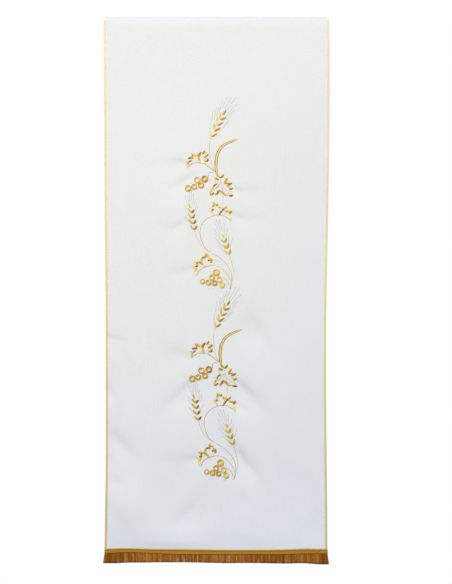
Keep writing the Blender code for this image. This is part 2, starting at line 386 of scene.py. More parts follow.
class Shape:
    """Closed shapes gathered into one mesh, with each point's place on its cloth or thread."""

    def __init__(self) -> None:
        """Starts with no points."""
        self.points: list[Array] = []
        self.faces: list[list[int]] = []
        self.places: list[Array] = []
        self.creased: list[Array] = []
        self.count = 0

    def add(self, points: Array, faces: Array, places: Array, creased: Array) -> None:
        """Adds points with their faces.

        Args:
            points: n points.
            faces: rows of point numbers, all of one length, from 0.
            places: three values for each point, for the finish.
            creased: true for each point that stands in a groove between two threads.
        """
        self.points.append(points)
        self.faces += (faces + self.count).tolist()
        self.places.append(places)
        self.creased.append(creased)
        self.count += len(points)

    def loft(
        self,
        rings: Array,
        first: object = 0.0,
        second: object = 0.0,
        third: object = 0.0,
        creased: Array | None = None,
    ) -> None:
        """Adds tubes: each ring is joined to the next by quads, and both ends are capped. Where the
        volume that they enclose comes out negative, the faces are turned over.

        Args:
            rings: points by tube, ring and place round the ring.
            first: the finish's first value at each of them.
            second: its second value.
            third: its third value.
            creased: for each ring of each tube, whether it lies in a groove.
        """
        tubes, count, sides, _ = rings.shape
        ring = np.arange(sides)
        after = np.roll(ring, -1)
        start = np.arange(count - 1)[:, None] * sides
        quads = np.stack([start + ring, start + after, start + sides + after, start + sides + ring], -1)
        caps = np.stack([ring[::-1], (count - 1) * sides + ring])
        tube = rings[0].reshape(-1, 3)
        corners = (tube - tube.mean(axis=0))[quads.reshape(-1, 4)]
        volume = np.einsum("ij,ij->i", corners[:, 0], np.cross(corners[:, 1], corners[:, 2])).sum()
        volume += np.einsum("ij,ij->i", corners[:, 0], np.cross(corners[:, 2], corners[:, 3])).sum()
        if volume < 0:
            quads = quads[..., ::-1]
            caps = caps[..., ::-1]
        if creased is None:
            creased = np.zeros((tubes, count), bool)
        shift = np.arange(tubes)[:, None, None] * count * sides
        values = finish_values(rings.shape[:3], first, second, third).reshape(-1, 3)
        faces = (quads.reshape(1, -1, 4) + shift).reshape(-1, 4)
        ends = (caps[None] + shift).reshape(-1, sides) + self.count
        self.add(rings.reshape(-1, 3), faces, values, np.repeat(creased.reshape(-1), sides))
        self.faces += ends.tolist()

    def piece(self, name: str, finish: "Finish", slot: str, nodes: Sequence[str]) -> bpy.types.Object:
        """Makes the mesh and its object, dresses it and ties it to the frame.

        Args:
            name: the piece's name.
            finish: what it is made of.
            slot: the record's material slot; not used.
            nodes: the frame's nodes that it stands for.

        Returns:
            The new object, at the origin.
        """
        mesh = bpy.data.meshes.new(name)
        mesh.from_pydata(np.concatenate(self.points).tolist(), [], self.faces)
        mesh.shade_smooth()
        values = mesh.attributes.new("place", "FLOAT_VECTOR", "POINT")
        values.data.foreach_set("vector", np.concatenate(self.places).astype(np.float32).ravel())
        creased = np.concatenate(self.creased)
        ends = np.empty(len(mesh.edges) * 2, np.int32)
        mesh.edges.foreach_get("vertices", ends)
        sharp = mesh.attributes.new("sharp_edge", "BOOLEAN", "EDGE")
        sharp.data.foreach_set("value", creased[ends.reshape(-1, 2)].all(axis=1))
        mesh.materials.append(finish.material())
        made = bpy.data.objects.new(name, mesh)
        bpy.context.scene.collection.objects.link(made)
        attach(made, "root")
        if nodes:
            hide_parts(*nodes)
        LOG.info("%s: %d points, %d faces", name, len(mesh.vertices), len(mesh.polygons))
        return made


class Nodes:
    """Adds nodes to one material and links them."""

    def __init__(self, name: str) -> None:
        """Makes an empty material with its shader."""
        self.made = bpy.data.materials.new(name)
        self.made.use_nodes = True
        self.tree = self.made.node_tree
        self.shader = self.tree.nodes["Principled BSDF"]

    def add(self, kind: str, **inputs: object) -> bpy.types.Node:
        """Adds a node. A socket takes a link to itself, and any other value is set on it.

        Args:
            kind: the node's type.
            inputs: sockets by name, spaces written as underscores, or properties of the node.

        Returns:
            The node.
        """
        node = self.tree.nodes.new(kind)
        for name, value in inputs.items():
            if hasattr(node, name):
                setattr(node, name, value)
                continue
            socket = node.inputs[int(name[1:])] if name[1:].isdigit() else node.inputs[name.replace("_", " ")]
            self.put(socket, value)
        return node

    def put(self, socket: bpy.types.NodeSocket, value: object) -> None:
        """Links a socket to another, or sets its value."""
        if isinstance(value, bpy.types.NodeSocket):
            self.tree.links.new(value, socket)
        else:
            socket.default_value = value

    def place(self) -> tuple[bpy.types.NodeSocket, list[bpy.types.NodeSocket]]:
        """The piece's own place attribute, whole and as three separate values."""
        vector = self.add("ShaderNodeAttribute", attribute_name="place").outputs["Vector"]
        parts = self.add("ShaderNodeSeparateXYZ", Vector=vector)
        return vector, list(parts.outputs)

    def result(self, kind: str, first: object, second: object = 0.0) -> bpy.types.NodeSocket:
        """The result of a Math node."""
        return self.add("ShaderNodeMath", operation=kind, i0=first, i1=second).outputs[0]

    def wave(self, value: bpy.types.NodeSocket, pitch: float, shift: object = 0.0) -> bpy.types.NodeSocket:
        """A sine between -1 and 1 that repeats every pitch, its phase moved by shift."""
        turns = self.result("MULTIPLY", value, 2 * math.pi / pitch)
        return self.result("SINE", self.result("ADD", turns, shift))

    def noise(self, vector: object, scale: float, detail: float = 2.0) -> bpy.types.NodeSocket:
        """Cloudy values around 0.5."""
        return self.add("ShaderNodeTexNoise", Vector=vector, Scale=scale, Detail=detail).outputs["Fac"]

    def stretched(self, vector: object, scale: tuple[float, float, float]) -> bpy.types.NodeSocket:
        """A vector with each part multiplied."""
        return self.add("ShaderNodeMapping", Vector=vector, Scale=scale).outputs["Vector"]

    def ramp(self, value: object, stops: Sequence[tuple[float, tuple]]) -> bpy.types.NodeSocket:
        """Colours by value, one for each stop."""
        node = self.add("ShaderNodeValToRGB", i0=value)
        elements = node.color_ramp.elements
        while len(elements) < len(stops):
            elements.new(1.0)
        for element, (at, colour) in zip(elements, stops):
            element.position = at
            element.color = (*colour, 1.0)
        return node.outputs["Color"]

    def mixed(self, share: object, plain: object, other: object, blend: str = "MIX") -> bpy.types.NodeSocket:
        """A colour changed towards another by a share, or blended with it in a way of its own.

        Args:
            share: how much of the other colour, from 0 to 1.
            plain: the colour, as a socket or as red, green and blue.
            other: the other one.
            blend: how they blend.

        Returns:
            The colour.
        """
        node = self.add("ShaderNodeMix", data_type="RGBA", blend_type=blend, i0=share)
        for name, colour in (("A", plain), ("B", other)):
            ready = isinstance(colour, bpy.types.NodeSocket)
            self.put(node.inputs[name], colour if ready else (*colour, 1.0))
        return node.outputs["Result"]

    def range(self, value: object, low: float, high: float) -> bpy.types.NodeSocket:
        """A value from 0 to 1, brought to low to high."""
        return self.add("ShaderNodeMapRange", i0=value, i3=low, i4=high).outputs[0]

    def bump(self, height: object, distance: float) -> None:
        """Gives the shader a relief of that height."""
        node = self.add("ShaderNodeBump", Height=height, Distance=distance, Strength=1.0)
        self.tree.links.new(node.outputs["Normal"], self.shader.inputs["Normal"])

    def finish(self, **sockets: object) -> bpy.types.Material:
        """Sets or links the shader's own sockets, and gives the material."""
        for name, value in sockets.items():
            self.put(self.shader.inputs[name.replace("_", " ")], value)
        return self.made


@dataclass(frozen=True)
class Finish:
    """What a piece is made of."""

    name: str

    def material(self) -> bpy.types.Material:
        """The finish as a material."""
        raise NotImplementedError


@dataclass(frozen=True)
class ClothFinish(Finish):
    """Fine white plain weave: threads up and across, a little uneven, in a matt white, with painted shade
    over the turn at the crest.
    """

    thread: float = 0.00055
    deep: float = 0.00006
    white: tuple = (0.835, 0.845, 0.838)
    cool: tuple = (0.815, 0.832, 0.845)
    # Painted shade: over the turn at the crest the white is multiplied by this, darker where the lamp above
    # lights it most
    turned: tuple = (0.80, 0.80, 0.80)
    turn_painted_shade_starts: float = 0.001
    turn_painted_shade_ends: float = -0.008
    warp_slubs: tuple = (900, 60, 1)
    weft_slubs: tuple = (60, 900, 1)

    def material(self) -> bpy.types.Material:
        """Plain weave: where one sine across times one along is high, a thread lies on top. Slubs are noise
        drawn out along the threads, and a wide noise shifts the white. Over the turn at the crest the white
        is multiplied darker: painted shade against the lamp above."""
        nodes = Nodes(self.name)
        vector, (across, along, _) = nodes.place()
        slub = nodes.noise(nodes.stretched(vector, self.warp_slubs), 1.0)
        weft = nodes.noise(nodes.stretched(vector, self.weft_slubs), 1.0)
        warp_wave = nodes.wave(across, 2 * self.thread, nodes.range(weft, -0.5, 0.5))
        weft_wave = nodes.wave(along, 2 * self.thread, nodes.range(slub, -0.5, 0.5))
        weave = nodes.result("MULTIPLY", warp_wave, weft_wave)
        height = nodes.result("ADD", weave, nodes.range(slub, -1.0, 1.0))
        nodes.bump(height, self.deep)
        cloudy = nodes.noise(vector, 3.0, 3.0)
        plain = nodes.ramp(cloudy, ((0.3, self.white), (0.7, self.cool)))
        painted_shade_share = nodes.add("ShaderNodeMapRange", i0=along, i1=self.turn_painted_shade_starts, i2=self.turn_painted_shade_ends)
        return nodes.finish(
            Base_Color=nodes.mixed(painted_shade_share.outputs[0], plain, self.turned, "MULTIPLY"),
            Roughness=nodes.range(slub, 0.66, 0.82),
            Sheen_Weight=0.12,
            Sheen_Roughness=0.5,
            Specular_IOR_Level=0.25,
        )


@dataclass(frozen=True)
class TapeFinish(Finish):
    """Woven gold tape: fine diagonal ribs with a silky gloss, and painted light that makes it paler towards
    the crest.
    """

    rib: float = 0.0005
    deep: float = 0.00005
    # Painted light: how fast the tape's colour goes from pale at the crest to darker at the foot
    painted_light_fall: float = 0.85
    # The gold of the tape, with painted light from above: pale at the crest, darker towards the foot
    gold_with_painted_light: tuple = (
        (0.0, (0.930, 0.890, 0.640)),
        (0.17, (0.920, 0.870, 0.600)),
        (0.38, (0.890, 0.820, 0.470)),
        (0.68, (0.820, 0.690, 0.350)),
        (0.93, (0.740, 0.600, 0.260)),
    )
    fleck: tuple = (0.86, 0.84, 0.78)
    flecked: float = 0.5
    fleck_scale: tuple = (300, 700, 1)
    thread: tuple = (0.760, 0.640, 0.330)

    def material(self) -> bpy.types.Material:
        """A sine along the slanted thread makes the ribs. The colour goes from pale at the crest to darker at
        the foot with the place along the tape, painted light from above on the gold, and the sewing thread,
        whose third value is 1, has its own."""
        nodes = Nodes(self.name)
        vector, (across, along, kind) = nodes.place()
        slant = nodes.result("ADD", across, along)
        nodes.bump(nodes.wave(slant, self.rib), self.deep)
        tape = nodes.ramp(nodes.result("MULTIPLY", along, self.painted_light_fall), self.gold_with_painted_light)
        cloudy = nodes.noise(nodes.stretched(vector, self.fleck_scale), 1.0)
        flecks = nodes.ramp(cloudy, ((0.3, self.fleck), (0.7, (1.0, 1.0, 1.0))))
        flecked_gold_with_painted_light = nodes.mixed(self.flecked, tape, flecks, "MULTIPLY")
        return nodes.finish(
            Base_Color=nodes.mixed(kind, flecked_gold_with_painted_light, self.thread),
            Roughness=0.5,
            Specular_IOR_Level=0.3,
            Specular_Tint=(1.0, 0.92, 0.65, 1.0),
        )


@dataclass(frozen=True)
class HeadingFinish(Finish):
    """Woven gold-brown band: cross ribs over a dark upper cord and a lighter foot."""

    rib: float = 0.0016
    deep: float = 0.00010
    cord: tuple = (0.500, 0.215, 0.020)
    band: tuple = (0.570, 0.290, 0.036)
    fleck_scale: tuple = (260, 3, 1)

    def material(self) -> bpy.types.Material:
        """The second value of place runs from 0 at the upper edge to 1 at the lower one, and the first
        along the band. Fine threads are a sine along it, and flecks a stretched noise."""
        nodes = Nodes(self.name)
        vector, (along, down, _) = nodes.place()
        fine = nodes.wave(along, self.rib / 4)
        nodes.bump(fine, self.deep)
        fleck = nodes.noise(nodes.stretched(vector, self.fleck_scale), 1.0, 3.0)
        level = nodes.result("ADD", down, nodes.range(fleck, -0.22, 0.22))
        colour = nodes.ramp(level, ((0.0, self.cord), (0.34, self.cord), (0.52, self.band), (1.0, self.band)))
        return nodes.finish(
            Base_Color=colour,
            Roughness=0.5,
            Specular_IOR_Level=0.35,
            Specular_Tint=(1.0, 0.70, 0.30, 1.0),
        )


@dataclass(frozen=True)
class ThreadFinish(Finish):
    """Dyed thread whose colour goes with each thread's tone, the third value of place: its own shade, and on
    the gold and fringe threads painted sheen as well.
    """

    stops: tuple
    roughness: float
    twist: float
    deep: float
    gloss: tuple
    twist_across: float = 0.6

    def material(self) -> bpy.types.Material:
        """The tone picks the colour on a ramp. The thread's twist is a sine along and across it."""
        nodes = Nodes(self.name)
        _, (along, athwart, tone) = nodes.place()
        slant = nodes.result("ADD", along, nodes.result("MULTIPLY", athwart, self.twist_across))
        nodes.bump(nodes.wave(slant, self.twist), self.deep)
        return nodes.finish(
            Base_Color=nodes.ramp(tone, self.stops),
            Roughness=self.roughness,
            Specular_IOR_Level=0.35,
            Specular_Tint=(*self.gloss, 1.0),
        )


@dataclass(frozen=True)
class FloorFinish(Finish):
    """Pale matt floor with a faint cloudiness."""

    light: tuple = (0.80, 0.80, 0.79)
    dark: tuple = (0.76, 0.76, 0.75)

    def material(self) -> bpy.types.Material:
        """Two pale tones mixed by noise on the floor's own coordinates."""
        nodes = Nodes(self.name)
        where = nodes.add("ShaderNodeTexCoord").outputs["Object"]
        colour = nodes.ramp(nodes.noise(where, 2.0), ((0.3, self.dark), (0.7, self.light)))
        return nodes.finish(Base_Color=colour, Roughness=0.8)


@dataclass(frozen=True)
class ClothPanel:
    """The white cloth, from the free edge behind, over the turn and down the front."""

    drape: Drape
    edge: float = 0.0050
    fine_half: float = 0.125
    fine_starts: float = 0.240
    fine_ends: float = 1.130

    def build(self) -> bpy.types.Object:
        """A closed slab: one grid half the cloth's thickness out from the middle surface, one as far in,
        and rims between.

        Returns:
            The piece.
        """
        half = self.drape.cloth_half
        middle = self.drape.turn_middle
        turn = -math.pi * middle
        across = evenly(
            (
                Band(-half, -half + self.edge, 1),
                Band(-half + self.edge, -self.fine_half, 17),
                Band(-self.fine_half, self.fine_half, 86),
                Band(self.fine_half, half - self.edge, 15),
                Band(half - self.edge, half, 1),
            )
        )
        run = evenly(
            (
                Band(self.drape.behind_run, turn, 4),
                Band(turn, 0.0, 14),
                Band(0.0, self.fine_starts - middle, 18),
                Band(self.fine_starts - middle, self.fine_ends - middle, 300),
                Band(self.fine_ends - middle, self.drape.cloth_depth - middle, 15),
            )
        )
        shape = Shape()
        outs = np.array([1, -1]) * self.drape.cloth_thick / 2
        points = self.drape.lay(across, run[:, None], outs[:, None, None])
        rows, columns = len(run), len(across)
        corner = np.arange(rows - 1)[:, None] * columns + np.arange(columns - 1)
        front = np.stack([corner, corner + columns, corner + columns + 1, corner + 1], -1).reshape(-1, 4)
        rim = np.concatenate(
            [
                np.arange(columns),
                np.arange(1, rows) * columns + columns - 1,
                rows * columns - 1 - np.arange(1, columns),
                np.arange(rows - 2, 0, -1) * columns,
            ]
        )
        after = np.roll(rim, -1)
        layer = rows * columns
        walls = np.stack([rim, after, after + layer, rim + layer], -1)
        faces = np.concatenate([front, front[:, ::-1] + layer, walls])
        values = finish_values((2, rows, columns), across, run[:, None])
        shape.add(points.reshape(-1, 3), faces, values.reshape(-1, 3), np.zeros(2 * layer, bool))
        return shape.piece("white_panel", ClothFinish("white_plain_weave"), "white_cloth", ["cloth_panel"])


@dataclass(frozen=True)
class Edging:
    """What the folded tapes share: a U that grips the cloth's edge, sewn through its middle."""

    drape: Drape
    face: float = 0.0044
    wall: float = 0.0005
    hold: float = 0.00005
    puff: float = 0.00028
    seam: float = 0.0023
    seam_half: float = 0.0007
    stitch: float = 0.0026
    stitch_gap: float = 0.0006
    thread: float = 0.00022
    pressed: float = 0.8
    edge_pressed: float = 0.4
    finish: TapeFinish = TapeFinish("gold_tape_weave")

    def section(self) -> Array:
        """The tape's cross-section as a ring of (distance in from the fold, distance out): its outer
        face, swollen on both sides of the seam and round over the fold, and its inner one back.

        Returns:
            The ring's points.
        """
        inner = self.drape.cloth_thick / 2 + self.hold
        into = self.face * np.array([0.0, 0.12, 0.30, 0.44, 0.52, 0.60, 0.78, 0.93, 1.0])
        swell = np.sin(np.pi * np.clip(into / self.face, 0, 1)) ** 0.6
        groove = np.exp(-(((into - self.seam) / self.seam_half) ** 2))
        out = inner + self.wall * self.pressed + self.puff * swell * (1 - groove)
        out[-1] = inner + self.wall * self.edge_pressed
        turn = np.linspace(math.pi / 2, -math.pi / 2, 6)[1:-1]
        fold = np.stack([-self.wall - self.puff * np.cos(turn), out[0] * np.sin(turn)], -1)
        outer = np.concatenate([np.stack([into, out], -1)[::-1], fold, np.stack([into, -out], -1)])
        core = np.array([[self.face, -inner], [0.0, -inner], [0.0, inner], [self.face, inner]])
        return np.concatenate([outer, core])

    def dashes(self, start: float, end: float) -> tuple[Array, Array]:
        """Where sewing stitches lie along a seam.

        Args:
            start: where the seam starts.
            end: where it ends.

        Returns:
            Places along the seam, four for each stitch, and the height of each above the groove.
        """
        pitch = self.stitch + self.stitch_gap
        count = int((end - start) / pitch)
        first = start + pitch * np.arange(count)[:, None]
        places = first + self.stitch * np.array([0.0, 0.2, 0.8, 1.0])
        heights = self.thread * np.array([-0.6, 1.0, 1.0, -0.6]) + np.zeros((count, 1))
        return places, heights


@dataclass(frozen=True)
class SideEdging(Edging):
    """The tape folded round one side of the cloth, all the way along it."""

    side: Side = Side.LEFT

    def build(self) -> bpy.types.Object:
        """The tape is its section carried along the cloth's side. Each stitch is a small five-sided tube
        that rises out of the seam's groove and goes down into it again.

        Returns:
            The piece.
        """
        drape, sign = self.drape, self.side.value
        run = np.linspace(drape.behind_run, drape.cloth_depth - drape.turn_middle, 420)
        section = self.section()
        across = sign * (drape.cloth_half - section[:, 0])
        rings = drape.lay(across, run[:, None], section[:, 1])
        shape = Shape()
        shape.loft(rings[None], section[:, 0], run[:, None])
        along, height = self.dashes(run[0] + self.stitch, run[-1] - self.stitch)
        ring = np.linspace(0, 2 * math.pi, 5, endpoint=False)
        seat = drape.cloth_thick / 2 + self.hold + self.wall * self.pressed
        across = sign * (drape.cloth_half - self.seam + self.thread * np.sin(ring))
        outs = seat + height[..., None] + self.thread * np.cos(ring)
        shape.loft(drape.lay(across, along[..., None], outs), 0.0, along[..., None], 1.0)
        name = f"edging_tape_{self.side.name.lower()}"
        return shape.piece(name, self.finish, "gold_tape", [f"edging_{self.side.name.lower()}"])


@dataclass(frozen=True)
class LowerEdging(Edging):
    """The tape folded round the lower edge, between the two side tapes."""

    gap: float = 0.00035
    tall: float = 0.0054
    # Where the lower tape reads the side tapes' painted light, at their foot, and how little it changes with
    # depth
    painted_light_at: float = 1.0
    painted_light_spread: float = 100.0

    def build(self) -> bpy.types.Object:
        """The tape is its section carried across the cloth's lower edge. Its place along is close to 1 all
        over it, so it has the side tapes' colour at their foot, where their painted light is darkest.

        Returns:
            The piece.
        """
        drape = self.drape
        end = drape.cloth_half - self.face - self.gap
        across = np.linspace(-end, end, 200)
        section = self.section()
        depth = drape.cloth_depth - section[:, 0] * self.tall / self.face
        rings = drape.front(across[:, None], depth, section[:, 1])
        shape = Shape()
        shape.loft(rings[None], across[:, None], self.painted_light_at + depth / self.painted_light_spread)
        return shape.piece("edging_tape_lower", self.finish, "gold_tape", ["edging_bottom"])


@dataclass(frozen=True)
class Heading:
    """The woven band over the lower edge: a cord along its top, and a ribbed foot."""

    drape: Drape
    top_below_hem: float = 0.0030
    tall: float = 0.0087
    thick: float = 0.0010
    out: float = 0.0024
    past_left: float = 0.0008
    past_right: float = 0.0012
    rib: float = 0.0016
    rib_high: float = 0.00022
    cord_share: float = 0.34
    cord_high: float = 0.00055
    cord_ribbed: float = 0.35
    foot_high: float = 0.45

    def build(self) -> bpy.types.Object:
        """The band's section carried across the cloth. Its face rises in a cord above and in a low swell
        below, and both are cut by cross ribs, which are a rounded wave along the band.

        Returns:
            The piece.
        """
        drape = self.drape
        left = -drape.cloth_half - self.past_left
        right = drape.cloth_half + self.past_right
        ribs = int((right - left) / self.rib)
        across = np.linspace(left, right, 4 * ribs + 1)
        down = np.array([0.0, 0.05, 0.13, 0.21, 0.29, 0.34, 0.40, 0.50, 0.62, 0.74, 0.86, 0.95, 1.0])
        cord = np.sin(np.pi * np.clip(down / self.cord_share, 0, 1)) ** 0.7
        foot = np.sin(np.pi * np.clip((down - self.cord_share) / (1 - self.cord_share), 0, 1)) ** 0.5
        rise = self.cord_high * cord + self.foot_high * self.cord_high * foot
        turns = 2 * math.pi * np.arange(len(across)) / 4
        wave = self.rib_high * (0.5 + 0.5 * np.cos(turns))[:, None] * (self.cord_ribbed * cord + foot)
        face = self.out + self.thick / 2 + rise + wave
        back = np.full((len(across), 2), self.out - self.thick / 2)
        outs = np.concatenate([face, back], axis=1)
        shares = np.concatenate([down, [1.0, 0.0]])
        sag = dipped(HEADING_SAG, across)[:, None] * shares**1.5
        depth = drape.hem_depth + self.top_below_hem + self.tall * shares + sag
        rings = drape.front(across[:, None], depth, outs)
        shape = Shape()
        shape.loft(rings[None], across[:, None], shares)
        finish = HeadingFinish("gold_brown_weave")
        return shape.piece("woven_heading", finish, "gold_heading", ["fringe_heading"])


@dataclass(frozen=True)
class BrushFringe:
    """Cut threads that hang close together from a strip behind the heading, in three layers."""

    drape: Drape
    heading: Heading
    strip_top: float = 1.1856
    strip_foot: float = 1.1879
    strip_thick: float = 0.0008
    threads: int = 2700
    layers: int = 3
    first_layer: float = 0.0009
    layer_step: float = 0.0003
    thread: float = 0.00036
    uneven: float = 0.0006
    root_depth: float = 1.1868
    root_uneven: float = 0.4
    lock: float = 0.0040
    lock_uneven: float = 0.35
    lock_pull: float = 0.14
    sway: float = 0.00040
    flare_left: float = 0.0038
    flare_right: float = 0.0026
    flare_power: int = 12
    join_across: float = -0.0726
    join_reach: float = 0.0030
    join_spread: float = 0.0005
    bow: float = 0.0003
    mean_tone: float = 0.44
    lock_tone: float = 0.15
    wide_tone: float = 0.10
    thread_tone: float = 0.10
    # Painted sheen: the share of threads made paler, and by how much, for light caught on single threads
    sheen_share: float = 0.07
    sheen_paler: float = 0.25
    join_darker: float = 0.35
    join_dark_reach: float = 0.0012
    tip_darker: float = 0.10
    tip_starts: float = 0.85
    strip_tone: float = 0.3
    rings: int = 6
    seed: int = 5
    # Distances between the knots of each slow wander
    lock_drift: float = 0.011
    pull_drift: float = 0.020
    sway_drift: float = 0.006
    end_drift: float = 0.030
    tone_drift: float = 0.0032
    wide_drift: float = 0.040

    def finish(self) -> ThreadFinish:
        """Copper-brown thread, with a pale end for its painted sheen."""
        stops = (
            (0.0, (0.130, 0.034, 0.002)),
            (0.35, (0.330, 0.100, 0.007)),
            (0.65, (0.520, 0.210, 0.025)),
            (1.0, (0.640, 0.420, 0.220)),
        )
        return ThreadFinish("copper_brown_thread", stops, 0.50, 0.0008, 0.00004, (1.0, 0.60, 0.25))

    def build(self) -> bpy.types.Object:
        """Each thread is a four-sided tube. Its tip leans by the flare, which grows with a high power of
        the place across, by a pull towards the middle of its lock, and by chance.

        Returns:
            The piece.
        """
        chance = np.random.default_rng(self.seed)
        drape, count = self.drape, self.threads
        left = -drape.cloth_half - self.heading.past_left + self.thread
        right = drape.cloth_half + self.heading.past_right - self.thread
        uneven = chance.uniform(-self.root_uneven, self.root_uneven, count)
        root = np.linspace(left, right, count) + uneven * self.thread
        lock = (root - left) / self.lock + self.lock_uneven * drift(root, self.lock_drift, chance)
        to_middle = (np.floor(lock) + 0.5 - lock) * self.lock
        flare = np.where(root < 0, -self.flare_left, self.flare_right)
        lean = flare * np.abs(root / drape.cloth_half) ** self.flare_power
        lean += self.lock_pull * to_middle * (0.5 + 0.5 * drift(root, self.pull_drift, chance))
        lean += self.sway * (0.5 * drift(root, self.sway_drift, chance) + chance.normal(0, 0.5, count))
        from_join = root - self.join_across
        lean += np.sign(from_join) * self.join_spread * np.exp(-((from_join / self.join_reach) ** 2))
        end = dipped(FRINGE_ENDS, root) + self.uneven * (
            0.5 * drift(root, self.end_drift, chance) + chance.uniform(-0.5, 0.5, count)
        )
        t = np.linspace(0, 1, self.rings)
        layer = chance.permutation(np.arange(count) % self.layers)
        start = drape.front(root, np.full(count, self.root_depth), self.first_layer + self.layer_step * layer)
        bow = chance.normal(0, self.bow, count)
        ring = np.linspace(0, 2 * math.pi, 4, endpoint=False) + math.pi / 4
        thick = self.thread * (1.10 - 0.08 * t)
        down = (end + start[:, 2])[:, None] * t
        x = start[:, 0, None] + lean[:, None] * t**1.15 + 0.3 * bow[:, None] * np.sin(np.pi * t)
        y = start[:, 1, None] - bow[:, None] * np.sin(0.5 * np.pi * t)
        z = start[:, 2, None] - down
        rings = np.stack(
            [
                x[..., None] + thick[:, None] * np.cos(ring),
                y[..., None] + thick[:, None] * np.sin(ring),
                np.repeat(z[..., None], 4, axis=-1),
            ],
            axis=-1,
        )
        tone = self.mean_tone + self.lock_tone * drift(root, self.tone_drift, chance)
        wide = self.wide_tone * drift(root, self.wide_drift, chance)
        tone += wide + chance.normal(0, self.thread_tone, count)
        tone += self.sheen_paler * (chance.uniform(0, 1, count) > 1 - self.sheen_share)
        tone -= self.join_darker * np.exp(-((from_join / self.join_dark_reach) ** 2))
        tip = self.tip_darker * ease((t - self.tip_starts) / (1 - self.tip_starts))
        shape = Shape()
        self.add_strip(shape, left, right)
        tone = np.clip(tone[:, None] - tip, 0, 1)[..., None]
        shape.loft(rings, down[..., None], thick[:, None] * ring, tone)
        return shape.piece("brush_fringe", self.finish(), "copper_fringe", ["fringe"])

    def add_strip(self, shape: Shape, left: float, right: float) -> None:
        """Adds the backing strip: a four-sided section carried across, behind the heading.

        Args:
            shape: what it is added to.
            left: where it starts.
            right: where it ends.
        """
        across = np.linspace(left, right, 160)
        depth = np.array([self.strip_top, self.strip_foot, self.strip_foot, self.strip_top])
        outs = self.strip_thick * np.array([1.0, 1.0, 0.0, 0.0])
        strip = self.drape.front(across[:, None], depth, outs)
        shape.loft(strip[None], across[:, None], third=self.strip_tone)


class Stitch(Enum):
    """Kinds of embroidery stitch."""

    SATIN = "threads side by side across a column"
    CORD = "a narrow column, for stems"
    RUN = "a single thread, stitch after stitch"


class Stroke(NamedTuple):
    """One column or line of stitches, on a path in millimetres from the foot of its repeat."""

    path: tuple
    half: float
    # Tone added to the thread's mean: partly the column's own shade, partly painted sheen, lighter or darker
    # as the column catches the light
    tone: float = 0.0
    taper: Taper = Taper.LENS
    stitch: Stitch = Stitch.SATIN


class Grain(NamedTuple):
    """A grain of wheat: its bearing in degrees, clockwise from up, its length and its half width."""

    bearing: float
    length: float
    half: float


class Ear(NamedTuple):
    """An ear of wheat: grains in pairs along an axis from its foot, one at its tip, and awns, each a
    thin line given by where it leaves the grains and where it ends."""

    foot: tuple
    lean: float
    spacing: float
    left: tuple
    right: tuple
    tip: Grain
    tone: float
    awns: tuple


class Grape(NamedTuple):
    """A berry: rings of satin one inside the other, each paler than the one round it. The outer one is
    thicker on the side of its bearing."""

    centre: tuple
    radius: float
    thick: float
    bearing: float
    rings: int = 1
    tone: float = 0.0


EARS = (
    Ear(
        (-39.4, 335.8), 27.0, 14.0,
        (Grain(-12, 13.0, 2.2), Grain(-1, 16.5, 2.6), Grain(-2, 19.5, 2.1), Grain(1, 15.5, 2.4)),
        (Grain(58, 14.0, 2.1), Grain(60, 15.2, 2.2), Grain(61, 14.4, 1.9), Grain(66, 14.2, 2.3)),
        Grain(31, 13.6, 2.3), 0.12,
        (
            ((-44.5, 347), (-42.3, 366)), ((-40, 368), (-36.5, 394)), ((-34, 372), (-29.5, 401)),
            ((-30, 380), (-21.6, 408.5)), ((-23.5, 388), (-15.0, 417.5)), ((-17.5, 396), (-4.3, 425.2)),
            ((-10.5, 397), (4.9, 424.5)), ((-6, 394), (13.8, 423.5)), ((-4.6, 387), (16.8, 408.2)),
            ((-7.4, 379), (11.6, 394.8)), ((-9.5, 371.5), (5.2, 383.8)), ((-12, 363), (1.6, 375.8)),
            ((-15.5, 357), (-1.6, 369.8)), ((-20.5, 348), (-9, 360.3)),
        ),
    ),
    Ear(
        (-77.8, 130.0), -10.0, 12.6,
        (Grain(-46, 13.6, 2.1), Grain(-45, 14.6, 2.1), Grain(-41, 14.8, 2.2), Grain(-36, 13.2, 2.0)),
        (Grain(35, 10.2, 2.3), Grain(31, 11.0, 2.3), Grain(29, 10.6, 2.1), Grain(40, 9.6, 2.2)),
        Grain(-22, 10.4, 1.9), -0.14,
        (
            ((-92, 182), (-98.8, 205)), ((-89.5, 188), (-93.5, 207.5)), ((-88, 192), (-88.6, 214.5)),
            ((-85, 191), (-84, 217.5)), ((-82, 186), (-79.4, 213)), ((-80, 180), (-74.7, 198)),
            ((-77.3, 172), (-71, 189.5)), ((-75, 167), (-69.4, 182.5)), ((-72.9, 152), (-66.3, 165)),
            ((-92.6, 171), (-101.6, 184.6)), ((-91.4, 161), (-100.8, 175.4)),
            ((-89.5, 149), (-100.8, 160.6)), ((-88, 145), (-99, 156.8)),
        ),
    ),
    Ear(
        (-0.8, 75.0), -19.5, 13.8,
        (Grain(-48, 15.6, 1.9), Grain(-48, 13.4, 2.2), Grain(-46, 11.9, 2.1)),
        (Grain(12, 13.2, 2.4), Grain(14, 13.2, 2.5), Grain(14, 12.2, 2.3)),
        Grain(-14, 10.0, 2.5), -0.02,
        (
            ((-12, 82.5), (-26.8, 96.5)), ((-15.7, 92), (-33.6, 112.4)), ((-17.6, 102.5), (-34.2, 122.6)),
            ((-20.3, 110), (-35, 132.6)), ((-19.4, 117), (-34.2, 146.4)), ((-18.5, 126), (-30.6, 154)),
            ((-15.5, 127.5), (-23.5, 153.4)), ((-11.5, 124.5), (-12.6, 145.6)),
            ((-8.3, 114), (-4.2, 133)), ((-3.7, 103), (0.9, 122.6)), ((0.7, 90), (6.8, 111.3)),
        ),
    ),
)
